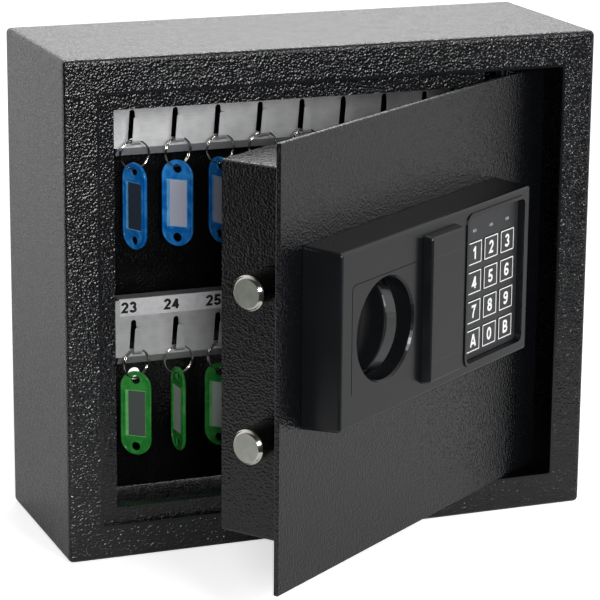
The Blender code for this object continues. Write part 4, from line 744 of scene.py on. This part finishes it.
def joined(name: str, parts: Sequence[Mesh]) -> Mesh:
    """Join closed meshes into one skin, and drop the parts.

    Args:
        name: the joined mesh's name.
        parts: the meshes, which may run into each other.

    Returns:
        The joined mesh.
    """
    holders = [add_object(name, part) for part in parts]
    for other in holders[1:]:
        join = holders[0].modifiers.new("join", "BOOLEAN")
        join.operation = "UNION"
        join.solver = "EXACT"
        join.object = other
    mesh = bpy.data.meshes.new_from_object(holders[0].evaluated_get(bpy.context.evaluated_depsgraph_get()))
    for holder in holders:
        bpy.data.meshes.remove(holder.data)
    mesh.name = name
    return cleaned(mesh, MERGE, drop_slivers=True)


def soften(mesh: Mesh, angle_deg: float = 35.0) -> Mesh:
    """Shade a mesh smooth, but for its sharp edges.

    Args:
        mesh: the mesh.
        angle_deg: the angle from which an edge stays sharp.

    Returns:
        The same mesh.
    """
    mesh.shade_smooth()
    mesh.set_sharp_from_angle(angle=math.radians(angle_deg))
    return mesh


def turned_mesh(name: str, profile: Sequence[Point], steps: int = 72) -> Mesh:
    """Turn a profile about the X axis.

    Args:
        name: the mesh's name.
        profile: distance along the axis and radius, from one end on the axis to the other.
        steps: how many sides the round has.

    Returns:
        The mesh, whose axis is X.
    """
    work = bmesh.new()
    points = [work.verts.new((along, 0.0, radius)) for along, radius in profile]
    edges = [work.edges.new(pair) for pair in zip(points, points[1:])]
    bmesh.ops.spin(work, geom=points + edges, cent=(0, 0, 0), axis=(1, 0, 0), angle=2 * math.pi, steps=steps,
                   use_merge=True)
    mesh = bpy.data.meshes.new(name)
    work.to_mesh(mesh)
    work.free()
    return soften(cleaned(mesh))


def rounded_rectangle(width: float, height: float, radius: float, steps: int = 6) -> list[Point]:
    """Points round a rectangle with round corners, about the origin.

    Args:
        width: its width.
        height: its height.
        radius: the radius of its corners.
        steps: how many pieces each corner has.

    Returns:
        The points, once round.
    """
    points = []
    for corner, (sign_x, sign_z) in enumerate(((1, 1), (-1, 1), (-1, -1), (1, -1))):
        for step in range(steps + 1):
            angle = math.pi / 2 * (corner + step / steps)
            points.append((sign_x * (width / 2 - radius) + radius * math.cos(angle),
                           sign_z * (height / 2 - radius) + radius * math.sin(angle)))
    return points


def stadium(width: float, height: float, steps: int = 20) -> list[Point]:
    """Points round a tall outline with half-round ends, about the origin."""
    radius, straight = width / 2, (height - width) / 2
    return (arc((0.0, straight), (radius, radius), 0, 180, steps)
            + arc((0.0, -straight), (radius, radius), 180, 360, steps))


def circle(radius: float, middle_z: float = 0.0, steps: int = 32) -> list[Point]:
    """Points round a circle at a height on the Z axis."""
    return arc((0.0, middle_z), (radius, radius), 0, 360, steps)[:-1]


def framed(name: str, outer: Point, line: float, corners: Point, thickness: float = PRINT_THICKNESS) -> Mesh:
    """A rectangular frame with round corners, about the origin.

    Args:
        name: the mesh's name.
        outer: its outer width and height.
        line: how wide its line is.
        corners: the radius of its outer and of its inner corners.
        thickness: the depth along Y, half to each side.

    Returns:
        The mesh, in the X-Z plane.
    """
    inner = (outer[0] - 2 * line, outer[1] - 2 * line)
    loops = (rounded_rectangle(*outer, corners[0]), rounded_rectangle(*inner, corners[1]))
    return loops_mesh(name, loops, thickness)


@dataclass
class Body:
    """The steel body: folded shell, door stop, back panel, hinge pins and the uprights inside."""

    opening: Point = (292 * MM, 258 * MM)
    fold: float = 1.6 * MM
    inner_corner: float = 0.2 * MM

    def build(self) -> None:
        """Dress the body, and lay the smooth fold round its opening."""
        dress(FINISHES.coat, "body_shell")
        dress(FINISHES.stop_coat, "stop_frame")
        # The back panel and uprights take the coat with the painted shade of the cabinet's interior.
        dress(FINISHES.inner_coat, "back_panel", "rail_upright_left", "rail_upright_right")
        dress(FINISHES.blacked, "hinge_pin_top", "hinge_pin_bottom")
        outer = tuple(side + 2 * self.fold for side in self.opening)
        mesh = framed("opening_fold", outer, self.fold, (self.fold, self.inner_corner))
        place_piece(mesh, FINISHES.fold_coat, "cabinet", Matrix.Translation((0, FRONT_Y - PRINT_LIFT, 0)))


@dataclass
class HookRails:
    """The two sheet-steel hook rails and the numbered strip on the lower one."""

    first_hook_x: float = -96.6 * MM
    hook_pitch: float = 27.6 * MM
    first_number: int = 23
    numbers: int = 8
    number_height: float = 6.6 * MM
    line: float = 0.245
    stretch: float = 1.2
    shift_x: float = -3.3 * MM

    def build(self) -> None:
        """Dress the rails and print the numbers on the strip."""
        dress(FINISHES.sheet, "hook_rail_top", "hook_rail_lower")
        dress(FINISHES.strip, "number_strip")
        low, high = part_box("number_strip")
        for n in range(self.numbers):
            number = self.first_number + n
            mesh = printed_mesh(f"strip_number_{number}", str(number), self.number_height, self.line,
                                self.stretch)
            middle = self.first_hook_x + n * self.hook_pitch + self.shift_x
            place_piece(mesh, FINISHES.black_ink, "cabinet",
                        Matrix.Translation((middle, low.y - PRINT_LIFT, (low.z + high.z) / 2)))


@dataclass
class Door:
    """The door plate with the pan behind it, and what is fixed inside the pan."""

    bolt_diameter: float = 20 * MM
    bolt_chamfer: float = 0.9 * MM
    bolt_step: Point = (0.8 * MM, 0.9 * MM)
    bolt_round: float = 0.2 * MM
    rivet_diameter: float = 8 * MM
    rivet_reach: float = 3.3 * MM
    face_steps: int = 64

    def build(self) -> None:
        """Dress the door, the bolt-work and the battery case, and turn the bolts."""
        dress(FINISHES.door_coat, "door_plate", "door_pan")
        dress(FINISHES.zinc, "guide_stud_lower", "guide_stud_upper", "solenoid", "bolt_carrier")
        dress(FINISHES.nickel, "solenoid_plunger")
        dress(FINISHES.abs_black, "battery_box", "battery_lid")
        dress(FINISHES.wrap, "battery")
        dress(FINISHES.board, "circuit_board")
        dress(FINISHES.red, "reset_button")
        for name in ("bolt_upper", "bolt_lower"):
            self.turn_bolt(name)

    def turn_bolt(self, name: str) -> None:
        """Turn one bolt with its chamfered, stepped nose and its riveted tail.

        Args:
            name: the bolt's node.
        """
        dress(FINISHES.nickel, name)
        low, high = shut_box(name)
        y, z = (low.y + high.y) / 2, (low.z + high.z) / 2
        length, radius = high.x - low.x, self.bolt_diameter / 2
        nose, step, small = radius - self.bolt_step[0], self.bolt_step[1], self.rivet_diameter / 2
        chamfer, bit = self.bolt_chamfer, self.bolt_round
        mesh = turned_mesh(f"turned_{name}", (
            (0.0, 0.0), (0.0, nose - chamfer - 2 * bit), (0.0, nose - chamfer - bit),
            (bit / 2, nose - chamfer), (chamfer - bit / 2, nose - bit / 2), (chamfer + bit / 2, nose),
            (chamfer + step - bit, radius - bit), (chamfer + step, radius),
            (chamfer + step + 2 * bit, radius), (length - self.rivet_reach, radius),
            (length - self.rivet_reach, small), (length, small), (length, 0.0)))
        piece = place_piece(mesh, FINISHES.nickel, "bolts", on_door(low.x, y, z))
        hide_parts(name)
        rim = circle(nose - chamfer - bit, steps=self.face_steps)
        end = loops_mesh(f"faced_{name}", (rim,), PRINT_THICKNESS)
        quarter = Matrix.Rotation(-math.pi / 2, 4, "Z")
        place_piece(end, FINISHES.faced, "bolts", on_door(low.x + PRINT_LIFT / 2, y, z) @ quarter)


@dataclass
class LockHousing:
    """The moulded lock housing, its knob and its emergency lock with the cover over it."""

    line_box: tuple[float, float, float, float] = (-32.0 * MM, -2.0 * MM, -15.0 * MM, 46.0 * MM)
    line: float = 0.35 * MM

    def build(self) -> None:
        """Dress the housing, the knob, the cover and the lock behind it, and draw a lighter line on the
        cover, a painted highlight of its inset outline.
        """
        dress(FINISHES.abs_black, "lock_housing", "knob", "emergency_cover")
        dress(FINISHES.zinc, "knob_spindle", "emergency_lock")
        dress(FINISHES.brass, "key_plug")
        left, right, bottom, top = self.line_box
        # Painted highlight: a lighter line where the cover's inset outline catches the light.
        mesh = framed("cover_line", (right - left, top - bottom), self.line, (self.line, self.line / 2))
        face = shut_box("emergency_cover")[0].y - PRINT_LIFT
        place_piece(mesh, FINISHES.cover_line, "emergency_cover",
                    on_door((left + right) / 2, face, (bottom + top) / 2))


@dataclass
class Keypad:
    """The keypad: its film, twelve keys with their legends and frames, and the light windows."""

    legends: tuple[str, ...] = ("123", "456", "789", "A0B")
    middle_x: float = 46 * MM
    top_row_z: float = 35.5 * MM
    pitch_x: float = 19 * MM
    pitch_z: float = 17.6 * MM
    frame_size: Point = (15.3 * MM, 13.2 * MM)
    frame_line: float = 0.6 * MM
    corner: float = 0.5 * MM
    legend_height: float = 7.6 * MM
    line: float = 0.20
    stretch: float = 1.22
    window_z: float = 48.7 * MM
    window_size: Point = (3.4 * MM, 1.7 * MM)
    window_bars: int = 3

    def build(self) -> None:
        """Dress the film and the keys, and print on them."""
        dress(FINISHES.film, "keypad_overlay")
        for row, names in enumerate(self.legends):
            for column, legend in enumerate(names):
                self.print_key(legend, self.middle_x + (column - 1) * self.pitch_x,
                               self.top_row_z - row * self.pitch_z)
        for column in range(len(self.legends[0])):
            self.light_window(column + 1, self.middle_x + (column - 1) * self.pitch_x)

    def print_key(self, legend: str, x: float, z: float) -> None:
        """Dress one key and print its legend and its frame.

        Args:
            legend: the character on the key.
            x: the key's middle across the closed door.
            z: the key's middle height.
        """
        sign = legend.lower()
        body = f"key_{sign}"
        dress(FINISHES.keycap, body)
        place = on_door(x, shut_box(body)[0].y - PRINT_LIFT, z)
        mark = printed_mesh(f"legend_{sign}", legend, self.legend_height, self.line, self.stretch)
        square = framed(f"key_frame_{sign}", self.frame_size, self.frame_line, (self.corner, self.corner / 2))
        for mesh in (mark, square):
            place_piece(mesh, FINISHES.white_ink, body, place)

    def light_window(self, number: int, x: float) -> None:
        """Set one light window into the film above a column of keys.

        Args:
            number: its place from the left.
            x: its middle across the closed door.
        """
        face = shut_box("keypad_overlay")[0].y - PRINT_LIFT
        width, height = self.window_size
        bar = width / (2 * self.window_bars - 1)
        for n in range(self.window_bars):
            mesh = loops_mesh(f"light_window_{number}_{n + 1}",
                              (rounded_rectangle(bar, height, bar / 4),), PRINT_THICKNESS)
            middle = x - width / 2 + (2 * n + 0.5) * bar
            place_piece(mesh, FINISHES.lens, "door", on_door(middle, face, self.window_z))


@dataclass
class RingAndTag:
    """One split ring on its hook with the tag that hangs from it."""

    number: int
    colour: TagColour
    hook_x: float
    root_z: float
    ring_turn: float
    tag_turn: float
    # Whether the tag's label is darkened with painted shade.
    grey_card: bool
    hook_y: float = -30.3 * MM
    ring_diameter: float = 19 * MM
    wire: float = 0.9 * MM
    turn_gap: float = 0.5 * MM
    turns: int = 2
    steps: int = 64
    solid_steps: int = 24
    seat: float = 0.3 * MM
    hole_diameter: float = 6.0 * MM
    moulded_hole: float = 5.7 * MM
    hang_lift: float = 1.0 * MM
    tag_length: float = 54 * MM
    tag_width: float = 20 * MM
    hole_inset: float = 5.4 * MM
    plate_thickness: float = 1.4 * MM
    rim: float = 1.5 * MM
    rim_thickness: float = 2.1 * MM
    rim_round: float = 0.5 * MM
    window: Point = (13.4 * MM, 30.0 * MM)
    window_frame: float = 1.1 * MM
    frame_thickness: float = 2.4 * MM
    label: Place = (11.0 * MM, 29.0 * MM, 0.2 * MM)
    label_shift: float = 0.8 * MM

    @property
    def radius(self) -> float:
        """The radius of the wire's centre line."""
        return (self.ring_diameter - self.wire) / 2

    @property
    def hang(self) -> float:
        """How far the ring's middle lies under the hook's root."""
        return self.radius - self.wire / 2 - self.seat

    @property
    def pitch(self) -> float:
        """How far the wire moves along its axis in one turn."""
        return self.wire + self.turn_gap

    def build(self) -> None:
        """Wind the ring and mould the tag."""
        self.wind_ring()
        self.mould_tag()

    @property
    def tag_name(self) -> str:
        """The tag's node and body."""
        return f"tag_{self.colour.value}_{self.number}"

    def wind_ring(self) -> None:
        """Wind the ring's wire as one smooth coil."""
        name = f"ring_wire_{self.number}"
        curve = bpy.data.curves.new(name, "CURVE")
        curve.dimensions = "3D"
        curve.bevel_depth = self.wire / 2
        curve.bevel_resolution = 3
        curve.use_fill_caps = True
        count = self.turns * self.solid_steps - 1
        fine = count * self.steps // self.solid_steps
        spline = curve.splines.new("POLY")
        spline.points.add(fine)
        for n, point in enumerate(spline.points):
            share = n / fine * count / self.solid_steps
            turn = 2 * math.pi * share
            point.co = (self.radius * math.cos(turn), self.pitch * (share - self.turns / 2),
                        self.radius * math.sin(turn) - self.hang, 1)
        place = Matrix.Translation((self.hook_x, self.hook_y, self.root_z))
        mesh = settle(name, curve, place @ Matrix.Rotation(math.radians(self.ring_turn), 4, "Z"))
        mesh.shade_smooth()
        piece = place_piece(mesh, FINISHES.nickel, f"ring_{self.number}")
        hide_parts(f"split_ring_{self.number}")

    def mould_tag(self) -> None:
        """Mould the tag as a plate with a round rim and a framed window, and lay the label in it."""
        plastic, pocket, label_paper, paper_in_painted_shade = FINISHES.of_tag(self.colour)
        # Labels that hang in shade take paper darkened with painted shade.
        paper = paper_in_painted_shade if self.grey_card else label_paper
        dress(plastic, self.tag_name)
        drop = self.tag_length / 2 - self.hole_inset
        inner = 2 * self.rim_round
        holes = [circle(self.moulded_hole / 2, height) for height in (drop, -drop)]
        plate = loops_mesh("plate", (stadium(self.tag_width - inner, self.tag_length - inner), *holes),
                           self.plate_thickness)
        rim = loops_mesh("rim", (stadium(self.tag_width, self.tag_length),
                                 stadium(self.tag_width - 2 * self.rim, self.tag_length - 2 * self.rim)),
                         self.rim_thickness, self.rim_round)
        width, height = self.window
        line = self.window_frame
        surround = framed("frame", (width + 2 * line, height + 2 * line), line, (line / 2, line / 4),
                          self.frame_thickness)
        shell = soften(joined(f"moulded_{self.tag_name}", (plate, rim, surround)))
        front = -self.plate_thickness / 2
        slip = loops_mesh(f"pocket_{self.number}", (rounded_rectangle(width, height, line / 4),),
                          PRINT_THICKNESS)
        slip.transform(Matrix.Translation((0, front - PRINT_LIFT, 0)))
        wide, high, thick = self.label
        label = loops_mesh(f"label_{self.number}", (rounded_rectangle(wide, high, thick),), thick)
        label.transform(Matrix.Translation((self.label_shift, front - PRINT_THICKNESS - thick / 2, 0)))
        spin = Matrix.Rotation(math.radians(self.ring_turn), 4, "Z")
        below = self.hang + self.radius - self.wire / 2 + self.hole_diameter / 2 - self.hang_lift
        hole = Vector((self.hook_x, self.hook_y, self.root_z - below)) + spin @ Vector((0, self.pitch / 4, 0))
        place = (Matrix.Translation(hole) @ Matrix.Rotation(-math.radians(self.tag_turn), 4, "Z")
                 @ Matrix.Translation((0, 0, -drop)))
        for mesh, finish in ((shell, plastic), (slip, pocket), (label, paper)):
            piece = place_piece(mesh, finish, self.tag_name, place)
            if mesh is shell:
                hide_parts(self.tag_name)


@dataclass
class KeyTags:
    """The eight rings and tags on the two rails."""

    first_hook_x: float = HookRails.first_hook_x
    hook_pitch: float = HookRails.hook_pitch
    root_top: float = 82 * MM
    root_lower: float = -50 * MM
    # The tags whose labels are darkened with painted shade.
    grey_cards: tuple[int, ...] = (1, 6)
    places: tuple[tuple[TagColour, int, float, float], ...] = (
        (TagColour.BLUE, 0, 0.0, 64.0),
        (TagColour.BLUE, 1, 16.0, 38.0),
        (TagColour.BLUE, 2, 6.0, 69.0),
        (TagColour.BLUE, 3, 4.0, 60.0),
        (TagColour.BLUE, 4, 10.0, 48.0),
        (TagColour.GREEN, 0, 16.0, 38.0),
        (TagColour.GREEN, 1, 0.0, 86.0),
        (TagColour.GREEN, 2, 14.0, 42.0),
    )

    def build(self) -> None:
        """Build each ring with its tag, blue on the top rail and green on the lower one."""
        for number, (colour, hook, ring_turn, tag_turn) in enumerate(self.places, 1):
            root = self.root_top if colour is TagColour.BLUE else self.root_lower
            RingAndTag(number, colour, self.first_hook_x + hook * self.hook_pitch, root, ring_turn, tag_turn,
                       number in self.grey_cards).build()


@dataclass
class Softbox:
    """One square soft lamp."""

    name: str
    place: Place
    width: float
    power: float
    aim: Place = (0.0, -0.1, 0.0)

    def build(self) -> None:
        """Hang the lamp and aim it."""
        data = bpy.data.lights.new(self.name, "AREA")
        data.shape = "SQUARE"
        data.size = self.width
        data.energy = self.power
        lamp = add_object(self.name, data)
        lamp.location = self.place
        lamp.rotation_euler = (Vector(self.aim) - Vector(self.place)).to_track_quat("-Z", "Y").to_euler()
        log.info("hung lamp %s", self.name)


@dataclass
class Studio:
    """The pale floor, the white surround, the lamps and the camera."""

    camera_place: Place = (-0.5934, -1.5852, 0.4210)
    yaw_deg: float = 21.27
    pitch_deg: float = -15.04
    roll_deg: float = 0.51
    focal_px: float = 2743.1
    image_px: float = 600.0
    sensor_mm: float = 36.0
    ambient: float = 0.30
    backdrop: Place = (0.36, 0.93, 0.0)
    backdrop_span: Point = (-0.42, 0.25)
    dim_side: float = 0.03
    floor_corners: tuple[Point, ...] = ((-0.45, -0.45), (3.0, -0.45), (3.0, 4.0), (-0.45, 4.0))
    floor_colour: str = "#F6F6F6"
    floor_lift: float = 0.62
    lamps: list[Softbox] = field(default_factory=lambda: [
        Softbox("softbox_key", (-0.66, -2.47, 0.54), 0.5, 34.0, (-0.05, -0.05, 0.0)),
        Softbox("softbox_front", (0.32, -2.1, 0.70), 0.5, 18.0),
        Softbox("softbox_right", (1.7, -1.5, 1.2), 0.5, 12.0),
        Softbox("softbox_back", (0.75, 1.9, 1.5), 1.2, 15.0),
    ])

    def build(self) -> None:
        """Set the stage."""
        self.surround()
        self.floor()
        for lamp in self.lamps:
            lamp.build()
        self.camera()
        bpy.context.scene.view_settings.view_transform = "Standard"

    def surround(self) -> None:
        """A white surround, which the object sees as a plain soft light."""
        world = bpy.data.worlds.new("studio")
        world.use_nodes = True
        tree = world.node_tree
        tree.nodes.clear()
        path = add_node(tree, "LightPath")
        seen = add_node(tree, "Math", {
            0: path.outputs["Is Camera Ray"], 1: path.outputs["Is Glossy Ray"]}, operation="ADD")
        clear = add_node(tree, "Math", {
            0: seen.outputs["Value"], 1: path.outputs["Is Transmission Ray"]}, operation="ADD",
            use_clamp=True)
        around = add_node(tree, "TexCoord").outputs["Generated"]
        toward = add_node(tree, "VectorMath", {0: around, 1: self.backdrop},
                          operation="DOT_PRODUCT")
        behind = add_node(tree, "MapRange", {
            "Value": toward.outputs["Value"], "From Min": self.backdrop_span[0],
            "From Max": self.backdrop_span[1], "To Min": self.dim_side, "To Max": 1.0})
        strength = add_node(tree, "Math", {
            0: behind.outputs["Result"], 1: path.outputs["Is Camera Ray"]}, operation="MAXIMUM")
        lit = add_node(tree, "Background", {"Color": linear("#FFFFFF"), "Strength": self.ambient})
        shown = add_node(tree, "Background", {
            "Color": linear("#FFFFFF"), "Strength": strength.outputs["Value"]})
        both = add_node(tree, "MixShader", {
            0: clear.outputs["Value"], 1: lit.outputs["Background"], 2: shown.outputs["Background"]})
        add_node(tree, "OutputWorld", {"Surface": both.outputs["Shader"]})
        bpy.context.scene.world = world

    def floor(self) -> None:
        """A sheet of pale paper under and behind the cabinet, which the camera sees as white."""
        mesh = bpy.data.meshes.new("floor")
        mesh.from_pydata([(x, y, FLOOR_Z) for x, y in self.floor_corners], [], [(0, 1, 2, 3)])
        made = bpy.data.materials.new("studio_paper")
        made.use_nodes = True
        tree = made.node_tree
        shader = tree.nodes["Principled BSDF"]
        shader.inputs["Base Color"].default_value = linear(self.floor_colour)
        shader.inputs["Roughness"].default_value = 0.9
        shader.inputs["Specular IOR Level"].default_value = 0.1
        path = add_node(tree, "LightPath")
        lift = add_node(tree, "Math", {0: path.outputs["Is Camera Ray"], 1: self.floor_lift},
                        operation="MULTIPLY")
        glow = add_node(tree, "Emission", {
            "Color": linear("#FFFFFF"), "Strength": lift.outputs["Value"]})
        both = add_node(tree, "AddShader", {0: shader.outputs["BSDF"], 1: glow.outputs["Emission"]})
        tree.links.new(both.outputs["Shader"], tree.nodes["Material Output"].inputs["Surface"])
        mesh.materials.append(made)
        floor = add_object("floor", mesh)

    def camera(self) -> None:
        """Set the camera where the photograph was taken from."""
        yaw, pitch, roll = (math.radians(v) for v in (self.yaw_deg, self.pitch_deg, self.roll_deg))
        ahead = Vector((math.sin(yaw) * math.cos(pitch), math.cos(yaw) * math.cos(pitch), math.sin(pitch)))
        level = Vector((math.cos(yaw), -math.sin(yaw), 0))
        upright = level.cross(ahead)
        right = math.cos(roll) * level + math.sin(roll) * upright
        up = -math.sin(roll) * level + math.cos(roll) * upright
        data = bpy.data.cameras.new("camera")
        data.sensor_width = self.sensor_mm
        data.lens = self.focal_px * self.sensor_mm / self.image_px
        camera = add_object("camera", data)
        turn = Matrix((right, up, -ahead)).transposed().to_4x4()
        camera.matrix_world = Matrix.Translation(self.camera_place) @ turn
        bpy.context.scene.camera = camera


def main() -> None:
    """Build the studio, then the cabinet from its body to its tags."""
    logging.basicConfig(level=logging.INFO, format="%(name)s: %(message)s")
    builders: tuple[tuple[str, Callable[[], None]], ...] = (
        ("studio", Studio().build),
        ("body", Body().build),
        ("hook rails", HookRails().build),
        ("door", Door().build),
        ("lock housing", LockHousing().build),
        ("keypad", Keypad().build),
        ("key tags", KeyTags().build),
    )
    for name, build in builders:
        build()
        log.info("finished the %s", name)


if __name__ == "__main__":
    main()
